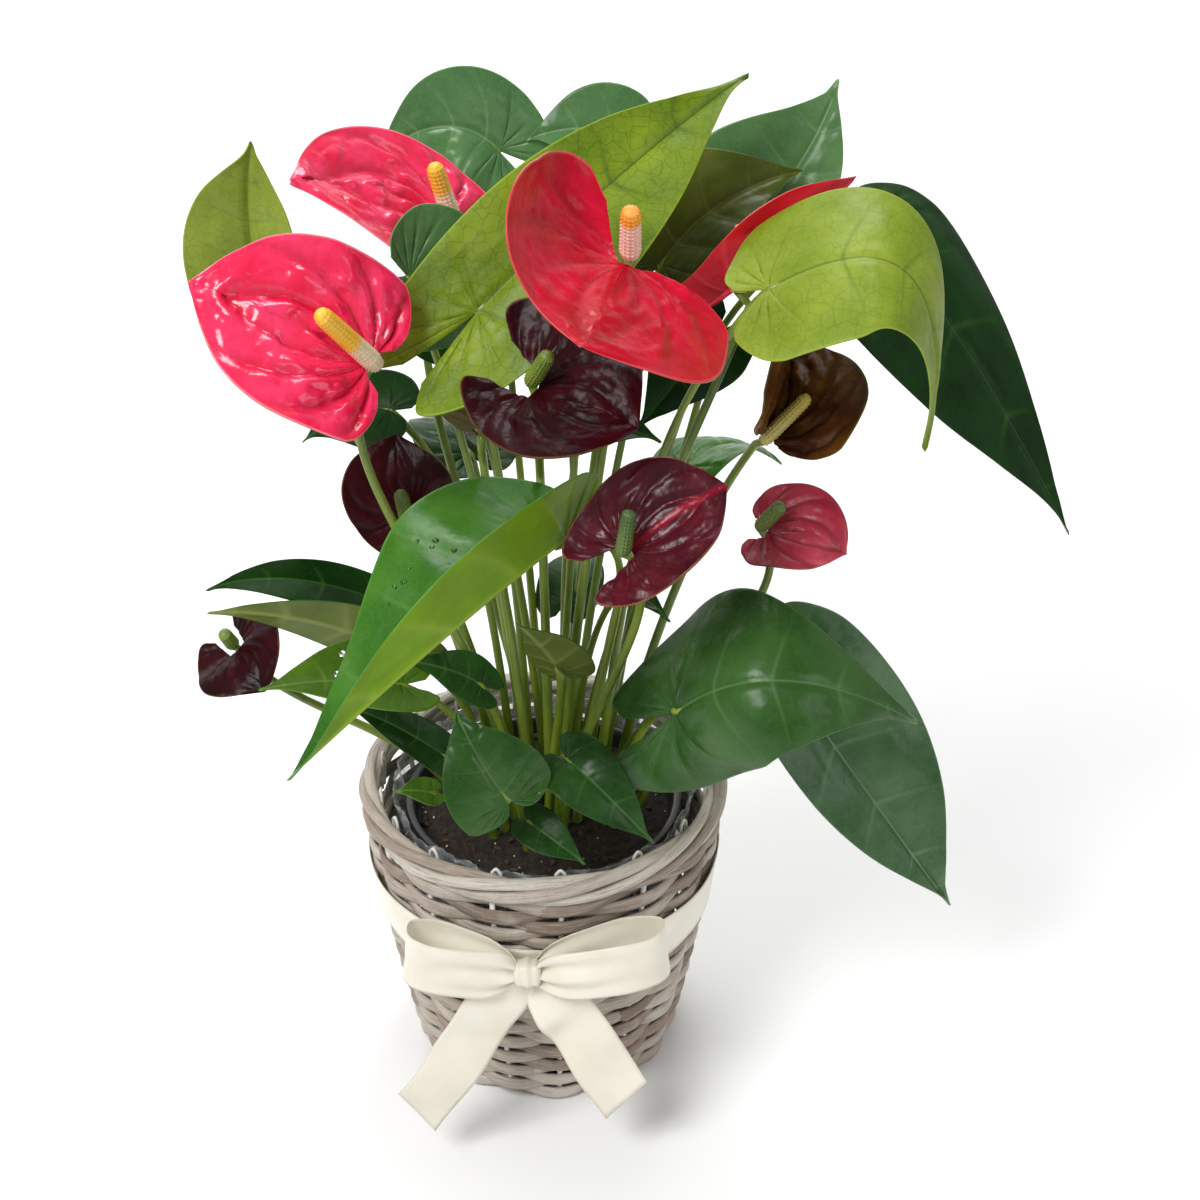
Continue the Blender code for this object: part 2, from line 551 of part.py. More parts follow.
LEAVES = {
    "leaf_01": dict(
        joint=(12, -75, 297), middle=(-30, -125, 286), tip=(-86, -135, 234), face=(-0.3, -0.35, 0.9),
        left=24, right=52, fold=(95, 5), curl=(0, 10), lift=0.5, lobe=0.8,
        arrive=(-0.8, -0.6, 0.1), nudge=(10, 0),
    ),
    "leaf_02": dict(
        joint=(54, -76, 222), middle=(92, -98, 251), tip=(147, -75, 216), face=(0, -0.45, 0.9),
        left=42, right=36, fold=(10, -10), curl=(-20, -75), lift=0.5, lobe=1.5,
        arrive=(0.3, -0.9, 0.4), nudge=(10, 6),
    ),
    "leaf_03": dict(
        joint=(104, -30, 200), middle=(140, -45, 151), tip=(175, -40, 95), face=(0.1, -0.85, 0.5),
        left=38, right=24, fold=(8, 25), curl=(-15, -10), lift=0.5,
        arrive=(0.9, -0.2, 0.3),
    ),
    "leaf_04": dict(
        joint=(83, -58, 388), middle=(131, -64, 395), tip=(143, -60, 325), face=(0.6, -0.45, 0.65),
        left=34, right=34, fold=(0, 0), curl=(-10, -10), lift=0.0, lobe=0.5,
        arrive=(0.6, -0.3, 0.8), nudge=(5, -6),
    ),
    "leaf_05": dict(
        joint=(124, 18, 382), middle=(162, -4, 343), tip=(213, -6, 259), face=(0.5, -0.6, 0.6),
        left=40, right=48, fold=(0, 5), curl=(-20, 0), lift=0.0, lobe=0.4,
        arrive=(0.95, -0.1, 0.3),
    ),
    "leaf_06": dict(
        joint=(-20, -28, 366), middle=(31, -4, 408), tip=(80, 30, 436), face=(-0.25, -0.8, 0.5),
        left=44, right=34, fold=(12, 12), curl=(5, 0), lift=0.5, lobe=1.2,
        arrive=(0, -0.3, 1), nudge=(3, 2),
    ),
    "leaf_07": dict(
        joint=(48, 20, 364), middle=(71, 30, 385), tip=(103, 40, 395), face=(-0.2, -0.8, 0.5),
        left=32, right=22, fold=(5, 20), curl=(0, 0), lift=0.5,
        arrive=(0.2, 0, 1),
    ),
    "leaf_08": dict(
        joint=(81, 40, 370), middle=(103, 50, 395), tip=(117, 60, 424), face=(0, -0.9, 0.4),
        left=36, right=22, fold=(5, 15), curl=(0, 0), lift=0.5,
        arrive=(0.3, 0.1, 1),
    ),
    "leaf_09": dict(
        joint=(-17, 94, 384), middle=(-40, 90, 395), tip=(-67, 80, 384), face=(-0.1, -0.75, 0.65),
        left=27, right=27, fold=(10, 10), curl=(0, 0), lift=0.5, lobe=1.2,
        arrive=(0, 0.1, 1),
    ),
    "leaf_10": dict(
        joint=(34, 98, 387), middle=(16, 99, 391), tip=(-6, 99, 386), face=(0, -0.8, 0.55),
        left=20, right=20, fold=(10, 10), curl=(0, 0), lift=0.5,
        arrive=(0, 0.2, 1),
    ),
    "leaf_11": dict(
        joint=(-46, -10, 372), middle=(-28, -2, 360), tip=(-9, 8, 342), face=(-0.3, -0.7, 0.6),
        left=29, right=26, fold=(8, 8), curl=(-10, -10), lift=0.5,
        arrive=(-0.3, 0, 1),
    ),
    "leaf_12": dict(
        joint=(-108, 20, 354), middle=(-107, 10, 390), tip=(-102, 0, 420), face=(0, -0.8, 0.5),
        left=26, right=24, fold=(8, 20), curl=(0, 0), lift=0.5,
        arrive=(-0.6, 0.2, 0.9),
    ),
    "leaf_13": dict(
        joint=(-68, 0, 225), middle=(-102, -10, 241), tip=(-133, -20, 242), face=(0, -0.4, 0.9),
        left=16, right=11, fold=(10, 10), curl=(0, 0), lift=0.5,
        arrive=(-0.9, 0, 0.5),
    ),
    "leaf_14": dict(
        joint=(-57, -20, 213), middle=(-92, -30, 234), tip=(-129, -40, 244), face=(0, 0.95, 0.3),
        left=15, right=15, fold=(5, 5), curl=(0, 0), lift=0.5,
        arrive=(-0.9, -0.2, 0.5),
    ),
    "leaf_15": dict(
        joint=(-55, -40, 210), middle=(-78, -55, 222), tip=(-106, -70, 228), face=(0, -0.5, 0.85),
        left=16, right=18, fold=(15, 15), curl=(0, 0), lift=0.5,
        arrive=(-0.9, -0.3, 0.5),
    ),
    "leaf_16": dict(
        joint=(-39, -30, 167), middle=(-59, -32, 184), tip=(-78, -30, 192), face=(-0.1, -0.6, 0.8),
        left=9, right=9, fold=(10, 10), curl=(0, 0), lift=0.5,
        arrive=(-0.9, 0, 0.5), nudge=(3, -5),
    ),
    "leaf_17": dict(
        joint=(-24, -20, 196), middle=(-36, -24, 206), tip=(-53, -32, 216), face=(0, -0.6, 0.8),
        left=11, right=11, fold=(5, 5), curl=(0, 0), lift=0.5,
        arrive=(-0.5, 0, 0.9), nudge=(-4, -6),
    ),
    "leaf_18": dict(
        joint=(9, -30, 209), middle=(2, -37, 225), tip=(-8, -43, 241), face=(0.2, 0.9, 0.3),
        left=15, right=11, fold=(10, 10), curl=(0, 0), lift=0.5,
        arrive=(0, -0.4, 0.9), nudge=(-3, -7),
    ),
    "leaf_19": dict(
        joint=(-11, -78, 181), middle=(-22, -74, 198), tip=(-32, -62, 213), face=(0, -0.8, 0.6),
        left=21, right=21, fold=(8, 8), curl=(-10, -10), lift=0.5, lobe=0.6,
        arrive=(0, -0.9, 0.3), nudge=(-3, 0),
    ),
    "leaf_20": dict(
        joint=(12, -65, 191), middle=(28, -77, 182), tip=(46, -79, 160), face=(0.1, -0.75, 0.65),
        left=14, right=14, fold=(8, 8), curl=(-10, -10), lift=0.5, lobe=0.7,
        arrive=(0.2, -0.9, 0.3),
    ),
    "leaf_21": dict(
        joint=(-4, -62, 158), middle=(7, -70, 154), tip=(19, -75, 147), face=(0, -0.6, 0.8),
        left=9, right=9, fold=(8, 8), curl=(0, 0), lift=0.5, lobe=0.7,
        arrive=(0, -0.9, 0.4), nudge=(8, -2),
    ),
    "leaf_22": dict(
        joint=(55, -25, 169), middle=(67, -25, 173), tip=(83, -22, 170), face=(0, -0.85, 0.5),
        left=11, right=11, fold=(8, 8), curl=(0, 0), lift=0.5,
        arrive=(0.9, -0.3, 0.3),
    ),
    "leaf_23": dict(
        joint=(14, -16, 307), middle=(31, -20, 314), tip=(48, -26, 311), face=(0, -0.6, 0.8),
        left=11, right=11, fold=(25, 25), curl=(0, 0), lift=0.5,
        arrive=(0, 0, 1), nudge=(1, 3),
    ),
    "leaf_24": dict(
        joint=(69, 8, 340), middle=(57, 4, 326), tip=(39, 0, 303), face=(0.3, -0.8, 0.5),
        left=18, right=20, fold=(5, 5), curl=(-10, -10), lift=0.5,
        arrive=(0.2, 0.2, 1), nudge=(5, -12),
    ),
}

FLOWERS = {
    "01": dict(
        joint=(-58, -55, 358), middle=(-89, -58, 378), tip=(-118, -55, 388), face=(0.3, -0.65, 0.7),
        left=38, right=34, fold=(8, 8), curl=(10, 10), lift=0.5, lobe=0.5,
        spadix=(-14, -16, 27),
    ),
    "02": dict(
        joint=(-37, 42, 374), middle=(-64, 32, 391), tip=(-90, 8, 402), face=(0, -0.35, 0.94),
        left=34, right=30, fold=(5, 5), curl=(10, 10), lift=0.5, lobe=1.5,
        spadix=(-2, -6, 25),
    ),
    "03": dict(
        joint=(34, -60, 397), middle=(26, -92, 394), tip=(19, -117, 393), face=(0.1, -0.3, 0.95),
        left=45, right=56, fold=(-5, 0), curl=(-15, 85), lift=1.0, lobe=1.8,
        spadix=(1, -8, 24),
    ),
    "04": dict(
        joint=(79, -20, 370), middle=(99, -22, 393), tip=(116, -19, 414), face=(-0.6, 0.4, 0.7),
        left=22, right=24, fold=(24, 40), curl=(24, 24), lift=0.5, lobe=2.2,
        spadix=(-2, 10, 23), notch=8, arrive=(0.35, 0, 1), nudge=(-4, -2),
    ),
    "05": dict(
        joint=(3, -62, 351), middle=(21, -76, 351), tip=(38, -84, 347), face=(0.1, -0.45, 0.9),
        left=38, right=30, fold=(22, 0), curl=(30, 0), lift=1.0, lobe=2.0,
        spadix=(4, -9, 18), notch=5, arrive=(0, -0.6, 0.8),
    ),
    "06": dict(
        joint=(-53, -4, 271), middle=(-56, 0, 285), tip=(-56, 8, 297), face=(-0.1, -0.8, 0.6),
        left=23, right=23, fold=(8, 8), curl=(10, 10), lift=0.5, lobe=2.2,
        spadix=(0, -14, 14), nudge=(-1, -4),
    ),
    "07": dict(
        joint=(36, -85, 299), middle=(53, -81, 312), tip=(70, -75, 319), face=(-0.1, -0.6, 0.8),
        left=23, right=23, fold=(10, 10), curl=(15, 10), lift=0.8, lobe=1.6,
        spadix=(-1, -6, 19), nudge=(-2, -4),
    ),
    "08": dict(
        joint=(90, -30, 275), middle=(106, -37, 277), tip=(119, -40, 270), face=(0, -0.5, 0.85),
        left=20, right=20, fold=(8, 8), curl=(5, 5), lift=0.5,
        spadix=(4, -6, 15), notch=4,
    ),
    "09": dict(
        joint=(87, -20, 311), middle=(95, -3, 324), tip=(98, 14, 331), face=(0.5, -0.4, 0.75),
        left=46, right=38, fold=(40, 40), curl=(0, 0), lift=0.5, lobe=0.6,
        spadix=(16, -6, 20), notch=4, girth=0.75, nudge=(10, 9),
    ),
    "10": dict(
        joint=(-122, -20, 213), middle=(-116, -32, 213), tip=(-109, -40, 207), face=(-0.5, -0.4, 0.8),
        left=18, right=18, fold=(8, 8), curl=(5, 5), lift=0.8, lobe=2.2,
        spadix=(-4, -7, 13), notch=4,
    ),
    "11": dict(
        joint=(-20, -40, 324), middle=(-26, -46, 333), tip=(-33, -52, 336), face=(0, 0.7, 0.6),
        left=10, right=10, fold=(8, 8), curl=(5, 5), lift=0.5,
        spadix=(-2, 4, 9), arrive=(0, -0.5, 0.85), nudge=(-3, -5),
    ),
}


def main():
    clear_scene()
    wicker = material("washed willow", (0.46, 0.38, 0.31), 0.75)
    wire = material("coated stake wire", (0.75, 0.73, 0.7), 0.45)
    film = material("clear film", (0.8, 0.83, 0.83), 0.12)
    pot_plastic = material("black pot plastic", (0.015, 0.015, 0.016), 0.45)
    earth = material("potting soil", (0.03, 0.02, 0.014), 0.95)
    satin = material("cream satin", (0.85, 0.8, 0.68), 0.35)
    green = material("leaf green", (0.035, 0.13, 0.03), 0.32)
    stalk_green = material("stalk green", (0.2, 0.32, 0.06), 0.4)
    red = material("spathe red", (0.62, 0.01, 0.03), 0.22)
    maroon = material("spathe maroon", (0.11, 0.008, 0.02), 0.25)

    basket_wall(wicker)
    basket_border(wicker)
    basket_base(wicker)
    basket_stakes(wire)
    film_liner(film)
    nursery_pot(pot_plastic)
    soil(earth)
    ribbon_band(satin)
    bow(satin)
    for name, form in LEAVES.items():
        leaf(name, green, **form)
    bright = ("01", "02", "03", "04")
    for name, form in FLOWERS.items():
        flower(name, {"spathe": red if name in bright else maroon, "stalk": stalk_green}, **form)


main()
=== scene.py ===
import math
import random

import bpy
from mathutils import Euler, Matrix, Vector, noise


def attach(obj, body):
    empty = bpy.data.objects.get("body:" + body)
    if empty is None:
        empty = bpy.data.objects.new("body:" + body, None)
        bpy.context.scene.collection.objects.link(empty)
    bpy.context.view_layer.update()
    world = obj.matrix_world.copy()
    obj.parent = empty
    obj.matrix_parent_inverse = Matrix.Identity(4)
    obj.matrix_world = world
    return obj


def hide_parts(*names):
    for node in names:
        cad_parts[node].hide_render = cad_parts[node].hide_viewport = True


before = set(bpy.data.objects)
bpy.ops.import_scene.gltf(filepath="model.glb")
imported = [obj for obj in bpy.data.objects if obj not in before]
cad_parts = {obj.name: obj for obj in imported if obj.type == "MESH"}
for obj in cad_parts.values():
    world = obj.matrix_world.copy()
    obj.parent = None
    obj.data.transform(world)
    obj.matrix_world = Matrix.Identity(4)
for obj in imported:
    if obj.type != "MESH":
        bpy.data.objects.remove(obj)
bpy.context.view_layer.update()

# Lengths are millimetres, as in the CAD model, and turn into metres where a mesh is made.
MM = 0.001

BASKET_HEIGHT = 140.0
RIM_RADIUS = 80.0
FOOT_RADIUS = 59.0
WALL_BELLY = 2.0
BORDER_HEIGHT = 16.0
HOOP_RADIUS = 54.0
FILM_TOP = 133.0
POT_RADIUS = 60.0
POT_FOOT_RADIUS = 43.0
POT_BOTTOM = 5.2
POT_TOP = 126.0
POT_WALL = 1.6
LIP_WIDTH = 2.4
LIP_HEIGHT = 8.0
SOIL_TOP = 118.0
CROWN = (3.0, 10.0)
SPREAD_DEPTH = 55.0
FARTHEST_FOOT = 40.0
PETIOLE_RADIUS = 1.5
STALK_RADIUS = 1.7
FOOT_SWELL = 0.7
FOOT_UPRIGHT = 2.0
NOTCH = 3.2
NECK_LENGTH = 3.5
BLADE_THICKNESS = 1.0
FINISHED_THICKNESS = 0.55
SPADIX_RADIUS = 3.6
RIBBON_WIDTH = 25.0
RIBBON_THICKNESS = 0.8
BAND_MIDDLE = 91.0
BAND_CLEARANCE = 1.0
GAP = 0.3

# Half outlines: (share along the midrib, share of the half width), from the tip back to the joint's notch.
LEAF_OUTLINE = (
    (1.0, 0.0), (0.9, 0.1), (0.76, 0.36), (0.56, 0.72), (0.34, 0.95), (0.12, 1.0),
    (-0.08, 0.9), (-0.2, 0.66), (-0.25, 0.4), (-0.2, 0.16),
)
SPATHE_OUTLINE = (
    (1.0, 0.0), (0.95, 0.13), (0.84, 0.42), (0.66, 0.76), (0.42, 0.97), (0.18, 1.0),
    (-0.06, 0.9), (-0.2, 0.68), (-0.25, 0.45), (-0.2, 0.26),
)


def shares(steps):
    return [step / steps for step in range(steps + 1)]


def angles(steps):
    return [math.tau * step / steps for step in range(steps)]


def on_circle(radius, angle, height):
    return Vector((radius * math.cos(angle), radius * math.sin(angle), height))


def length_of(line):
    return sum((after - before).length for before, after in zip(line, line[1:]))


# ---------------------------------------------------------------- materials


class Look:
    """A node material under construction."""

    def __init__(self, name, roughness=0.5, **sockets):
        self.material = bpy.data.materials.new(name)
        self.material.use_nodes = True
        self.tree = self.material.node_tree
        self.shader = self.tree.nodes["Principled BSDF"]
        self.set("Roughness", roughness)
        for socket, value in sockets.items():
            self.set(socket.replace("_", " "), value)

    def feed(self, socket, value):
        if isinstance(value, bpy.types.NodeSocket):
            self.tree.links.new(value, socket)
        elif isinstance(value, tuple) and len(value) == 3 and socket.type == "RGBA":
            socket.default_value = (*value, 1.0)
        else:
            socket.default_value = value

    def set(self, socket, value):
        self.feed(self.shader.inputs[socket], value)

    def node(self, kind, inputs=None, **settings):
        made = self.tree.nodes.new("ShaderNode" + kind)
        for name, value in settings.items():
            setattr(made, name, value)
        for name, value in (inputs or {}).items():
            self.feed(made.inputs[name], value)
        return made

    def math(self, operation, *values):
        return self.node("Math", dict(enumerate(values)), operation=operation).outputs[0]

    def times(self, one, two):
        return self.math("MULTIPLY", one, two)

    def mix(self, share, one, two):
        made = self.node("Mix", data_type="RGBA", blend_type="MIX")
        for index, value in ((0, share), (6, one), (7, two)):
            self.feed(made.inputs[index], value)
        return made.outputs[2]

    def place(self, stretch=(1, 1, 1)):
        where = self.node("TexCoord").outputs["Object"]
        return self.node("Mapping", {"Vector": where, "Scale": stretch}).outputs[0]

    def noise(self, scale, detail=2.0, vector=None, rough=0.5):
        inputs = {"Scale": scale, "Detail": detail, "Roughness": rough}
        inputs["Vector"] = vector or self.place()
        return self.node("TexNoise", inputs).outputs[0]

    def cells(self, scale, feature="DISTANCE_TO_EDGE"):
        inputs = {"Scale": scale, "Vector": self.place()}
        return self.node("TexVoronoi", inputs, feature=feature).outputs["Distance"]

    def spread(self, value, low, high, start=0.0, end=1.0):
        """value from low..high brought to start..end, and held there outside it."""
        inputs = {"Value": value, "From Min": low, "From Max": high, "To Min": start, "To Max": end}
        return self.node("MapRange", inputs, clamp=True).outputs[0]

    def patches(self, scale, detail, low, high, start=0.0, end=1.0):
        return self.spread(self.noise(scale, detail), low, high, start, end)

    def uv(self, name):
        """(u, v) of a UV layer."""
        where = self.node("UVMap", uv_map=name).outputs[0]
        parts = self.node("SeparateXYZ", {0: where})
        return parts.outputs[0], parts.outputs[1]

    def blade(self):
        """The veins' phase, the share of the way out to the edge, and the millimetres from the midrib."""
        phase, share = self.uv("Vein")
        return phase, share, self.math("ABSOLUTE", self.uv("Blade")[1])

    def line(self, phase, sharp):
        """1 where phase is a whole number, falling to 0 between, faster when sharp is high."""
        wave = self.math("COSINE", self.times(phase, math.tau))
        return self.math("POWER", self.math("MULTIPLY_ADD", wave, 0.5, 0.5), sharp)

    def bump(self, height, strength, distance_mm):
        made = self.node("Bump", {"Height": height, "Strength": strength, "Distance": distance_mm * MM})
        if self.shader.inputs["Normal"].is_linked:
            self.feed(made.inputs["Normal"], self.shader.inputs["Normal"].links[0].from_socket)
        self.set("Normal", made.outputs[0])

    def done(self, colour, *bumps):
        """The material, with its colour and bumps of (height, strength, distance in mm)."""
        self.set("Base Color", colour)
        for bump in bumps:
            self.bump(*bump)
        return self.material


def srgb(colour):
    """A colour given in 0..255, as the linear shares that a shader takes."""
    parts = (part / 255 for part in colour)
    return tuple(part / 12.92 if part < 0.04 else ((part + 0.055) / 1.055) ** 2.4 for part in parts)


def shaded(colour, factor):
    return tuple(min(1.0, part * factor) for part in colour)


def leaf_look(name, base, light, vein, roughness=0.27, net=0.08, gloss=0.25):
    """The waxy upper side: paler veins and midrib, a fine net between them, and a thin pale margin."""
    look = Look(name, Specular_IOR_Level=gloss)
    base, light, vein = map(srgb, (base, light, vein))
    phase, share, off_rib = look.blade()
    colour = look.mix(look.patches(38.0, 3.0, 0.36, 0.68), base, light)
    colour = look.mix(look.times(look.patches(900.0, 2.0, 0.3, 0.7), 0.25), colour, shaded(light, 1.3))
    colour = look.mix(look.times(look.spread(look.cells(190.0), 0.0, 0.05, 1.0, 0.0), net), colour, vein)
    side = look.times(look.line(phase, 90.0), look.spread(share, 0.1, 0.95, 0.5, 0.05))
    colour = look.mix(side, colour, vein)
    colour = look.mix(look.spread(off_rib, 0.2, 0.75, 0.7, 0.0), colour, vein)
    colour = look.mix(look.spread(share, 0.978, 0.992, 0.0, 0.6), colour, shaded(light, 1.5))
    look.set("Roughness", look.patches(70.0, 2.0, 0.35, 0.65, roughness - 0.05, roughness + 0.1))
    return look.done(
        colour, (look.line(phase, 10.0), 0.35, 0.35), (look.cells(330.0, "F1"), 0.22, 0.25),
        (look.noise(160.0, 2.0), 0.3, 0.5),
    )


def underside_look(name, base, vein, roughness=0.45):
    look = Look(name, roughness, Specular_IOR_Level=0.2)
    base, vein = srgb(base), srgb(vein)
    phase, share, off_rib = look.blade()
    colour = look.mix(look.patches(60.0, 3.0, 0.3, 0.7), base, shaded(base, 1.35))
    side = look.times(look.line(phase, 18.0), look.spread(share, 0.1, 1.0, 0.7, 0.2))
    colour = look.mix(side, colour, vein)
    colour = look.mix(look.spread(off_rib, 0.5, 1.6, 0.9, 0.0), colour, vein)
    return look.done(colour, (look.line(phase, 10.0), 0.5, 0.4), (look.cells(380.0, "F1"), 0.3, 0.25))


def spathe_look(name, base, deep, light, rim, roughness=0.33, crease_shade=0.5, rib=None, coat=0.0, gloss=0.13):
    """A lacquered spathe: painted shade gives the creases a deeper colour, so the ridges read lighter; and a thin
    rim.
    """
    look = Look(name, roughness, Coat_Weight=coat, Coat_Roughness=0.12, Specular_IOR_Level=gloss)
    base, deep, light, rim = map(srgb, (base, deep, light, rim))
    phase, share, off_rib = look.blade()
    colour = look.mix(look.patches(55.0, 3.0, 0.35, 0.68), base, light)
    colour = look.mix(look.times(look.patches(700.0, 2.0, 0.3, 0.7), 0.25), colour, shaded(base, 0.75))
    # Painted shade: the deep colour darkens the creases, most near the midrib and half as much at the edge.
    crease = look.times(look.line(phase, 5.0), look.spread(share, 0.0, 1.0, crease_shade, crease_shade * 0.5))
    colour = look.mix(crease, colour, deep)
    if rib:
        colour = look.mix(look.spread(off_rib, 0.4, 2.4, 0.9, 0.0), colour, srgb(rib))
        ways = look.times(look.line(phase, 22.0), look.spread(share, 0.0, 0.8, 0.6, 0.0))
        colour = look.mix(ways, colour, srgb(rib))
    colour = look.mix(look.spread(share, 0.975, 0.99, 0.0, 0.75), colour, rim)
    return look.done(
        colour, (look.cells(420.0, "F1"), 0.35, 0.3), (look.noise(230.0, 2.0), 0.35, 0.6),
        (look.line(phase, 7.0), 0.3, 0.5),
    )


def stalk_look(name, low, high):
    look = Look(name, 0.32)
    low, high = srgb(low), srgb(high)
    streaks = look.noise(420.0, 2.0, look.place((1, 1, 0.05)))
    colour = look.mix(look.patches(22.0, 2.0, 0.35, 0.65), low, high)
    colour = look.mix(look.times(look.spread(streaks, 0.35, 0.65), 0.35), colour, shaded(high, 1.3))
    return look.done(colour, (streaks, 0.3, 0.25))


def spadix_look(name, base, tip, start=0.3, end=0.8):
    """start and end are the shares of the length between which the base colour turns into the tip's."""
    look = Look(name, 0.42)
    base, tip = srgb(base), srgb(tip)
    _, height = look.uv("Blade")
    ragged = look.math("ADD", height, look.times(look.noise(500.0, 2.0), 0.12))
    colour = look.mix(look.spread(ragged, start + 0.06, end + 0.06), base, tip)
    colour = look.mix(look.spread(look.cells(950.0), 0.0, 0.12, 0.5, 0.0), colour, shaded(base, 0.55))
    return look.done(colour, (look.noise(1500.0, 2.0), 0.3, 0.15))


def willow_look():
    """Washed split willow: greys, browns and chalky streaks along each strip."""
    look = Look("washed willow", 0.72)
    along, tone = look.uv("Strip")
    _, height = look.uv("Grain")
    grain = {0: look.times(along, 0.022), 1: look.times(height, 7.0), 2: tone}
    where = look.node("CombineXYZ", grain).outputs[0]
    fibre = look.noise(3.0, 5.0, where, 0.7)
    colour = look.mix(look.spread(tone, 0.0, 0.5), (0.22, 0.155, 0.115), (0.42, 0.345, 0.28))
    colour = look.mix(look.spread(tone, 0.5, 1.0), colour, (0.66, 0.61, 0.53))
    colour = look.mix(look.spread(fibre, 0.5, 0.72, 0.0, 0.8), colour, (0.15, 0.105, 0.08))
    colour = look.mix(look.spread(fibre, 0.46, 0.3, 0.0, 0.7), colour, (0.66, 0.62, 0.55))
    cracks = look.spread(look.noise(2.0, 2.0, where), 0.495, 0.505)
    crack = look.times(cracks, look.math("SUBTRACT", 1.0, cracks))
    colour = look.mix(look.times(crack, 2.6), colour, (0.10, 0.07, 0.05))
    colour = look.mix(look.patches(60.0, 3.0, 0.52, 0.7, 0.0, 0.4), colour, (0.68, 0.64, 0.58))
    colour = look.mix(look.patches(24.0, 2.0, 0.5, 0.7, 0.0, 0.35), colour, (0.40, 0.27, 0.22))
    return look.done(colour, (fibre, 0.9, 0.8), (look.noise(300.0, 3.0), 0.2, 0.3))


def film_look():
    look = Look("clear film", 0.12, Alpha=0.34, Specular_IOR_Level=0.9)
    creases = look.noise(130.0, 4.0, rough=0.65)
    # Painted highlights and shade: the clear film's colour runs from dark grey to near white along its crumples.
    colour = look.mix(look.spread(creases, 0.45, 0.62), (0.30, 0.32, 0.34), (0.93, 0.95, 0.97))
    return look.done(colour, (creases, 1.0, 1.6))


def soil_look():
    look = Look("potting soil", 0.95)
    crumbs = look.noise(420.0, 5.0, rough=0.7)
    colour = look.mix(look.spread(crumbs, 0.35, 0.7), (0.006, 0.0045, 0.0035), (0.05, 0.033, 0.022))
    return look.done(colour, (crumbs, 1.0, 1.6))


def grained_look(name, roughness, one, two, grain, bump=None, edges=None):
    """Two colours in soft patches. grain is their noise's (scale, detail), and bump is a (scale, detail,
    strength, distance in mm). edges are the noise's values where each colour is whole."""
    look = Look(name, roughness)
    patches = look.noise(*grain)
    if edges:
        patches = look.spread(patches, *edges)
    bumps = [(look.noise(*bump[:2]), *bump[2:])] if bump else []
    return look.done(look.mix(patches, one, two), *bumps)


def satin_look():
    """Cream satin: a fine warp along the ribbon, a soft sheen and slightly corded edges."""
    look = Look("cream satin", 0.3, Sheen_Weight=0.2, Sheen_Roughness=0.35)
    along, across = look.uv("Strip")
    warp = look.line(look.times(across, 42.0), 1.0)
    weft = look.line(look.times(along, 2.2), 1.0)
    colour = look.mix(look.patches(45.0, 2.0, 0.35, 0.7), (0.74, 0.70, 0.585), (0.82, 0.785, 0.68))
    colour = look.mix(look.times(warp, 0.10), colour, (0.60, 0.53, 0.40))
    side = look.math("ABSOLUTE", across)
    edge = look.times(look.spread(side, 0.47, 0.475), look.spread(side, 0.49, 0.5, 1.0, 0.4))
    colour = look.mix(look.times(edge, 0.5), colour, (0.66, 0.59, 0.45))
    return look.done(colour, (warp, 0.12, 0.08), (weft, 0.08, 0.06), (look.noise(95.0, 2.0), 0.25, 0.8))


# ---------------------------------------------------------------- meshes


class Shape:
    """Points, faces and UV layers, gathered in millimetres."""

    def __init__(self):
        self.points, self.faces, self.layers = [], [], {}

    def add(self, point):
        self.points.append(Vector(point))
        return len(self.points) - 1

    def face(self, corners, **layers):
        """corners are point numbers, and each layer gives a (u, v) for each. Doubled corners are dropped."""
        kept = [i for i, corner in enumerate(corners) if corner not in corners[:i]]
        if len(kept) < 3:
            return
        self.faces.append([corners[i] for i in kept])
        for name, values in layers.items():
            self.layers.setdefault(name, []).extend(values[i] for i in kept)

    def cap(self, ring, **layers):
        """One face over a ring, with the same (u, v) at every corner."""
        self.face(ring, **{name: [value] * len(ring) for name, value in layers.items()})

    def skin(self, rows, closed=True, order=(0, 1, 2, 3), **layers):
        """Faces between neighbouring rows of point numbers, closed round or open. Each layer gives (u, v) for
        a (row, column), and order says which way round a face's corners go."""
        count = len(rows[0])
        for row in range(len(rows) - 1):
            for column in range(count if closed else count - 1):
                corners = (row, column), (row, column + 1), (row + 1, column + 1), (row + 1, column)
                corners = [corners[index] for index in order]
                values = {name: [layer(*corner) for corner in corners] for name, layer in layers.items()}
                self.face([rows[line][spot % count] for line, spot in corners], **values)

    def join(self, other):
        start = len(self.points)
        self.points += other.points
        self.faces += [[corner + start for corner in face] for face in other.faces]
        for name, values in other.layers.items():
            self.layers.setdefault(name, []).extend(values)

    def piece(self, name, slot, looks, replaces=(), sharp=None):
        name = f"{name}_finish" if replaces else name
        mesh = bpy.data.meshes.new(name)
        mesh.from_pydata([point * MM for point in self.points], [], self.faces)
        for layer, values in self.layers.items():
            made = mesh.uv_layers.new(name=layer)
            made.data.foreach_set("uv", [part for value in values for part in value])
        for look in looks:
            mesh.materials.append(look)
        mesh.shade_smooth()
        if sharp:
            mesh.set_sharp_from_angle(angle=math.radians(sharp))
        made = bpy.data.objects.new(name, mesh)
        bpy.context.scene.collection.objects.link(made)
        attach(made, "root")
        if replaces:
            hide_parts(*replaces)
        return made


def bezier(ends, share):
    while len(ends) > 1:
        ends = [one.lerp(two, share) for one, two in zip(ends, ends[1:])]
    return ends[0]


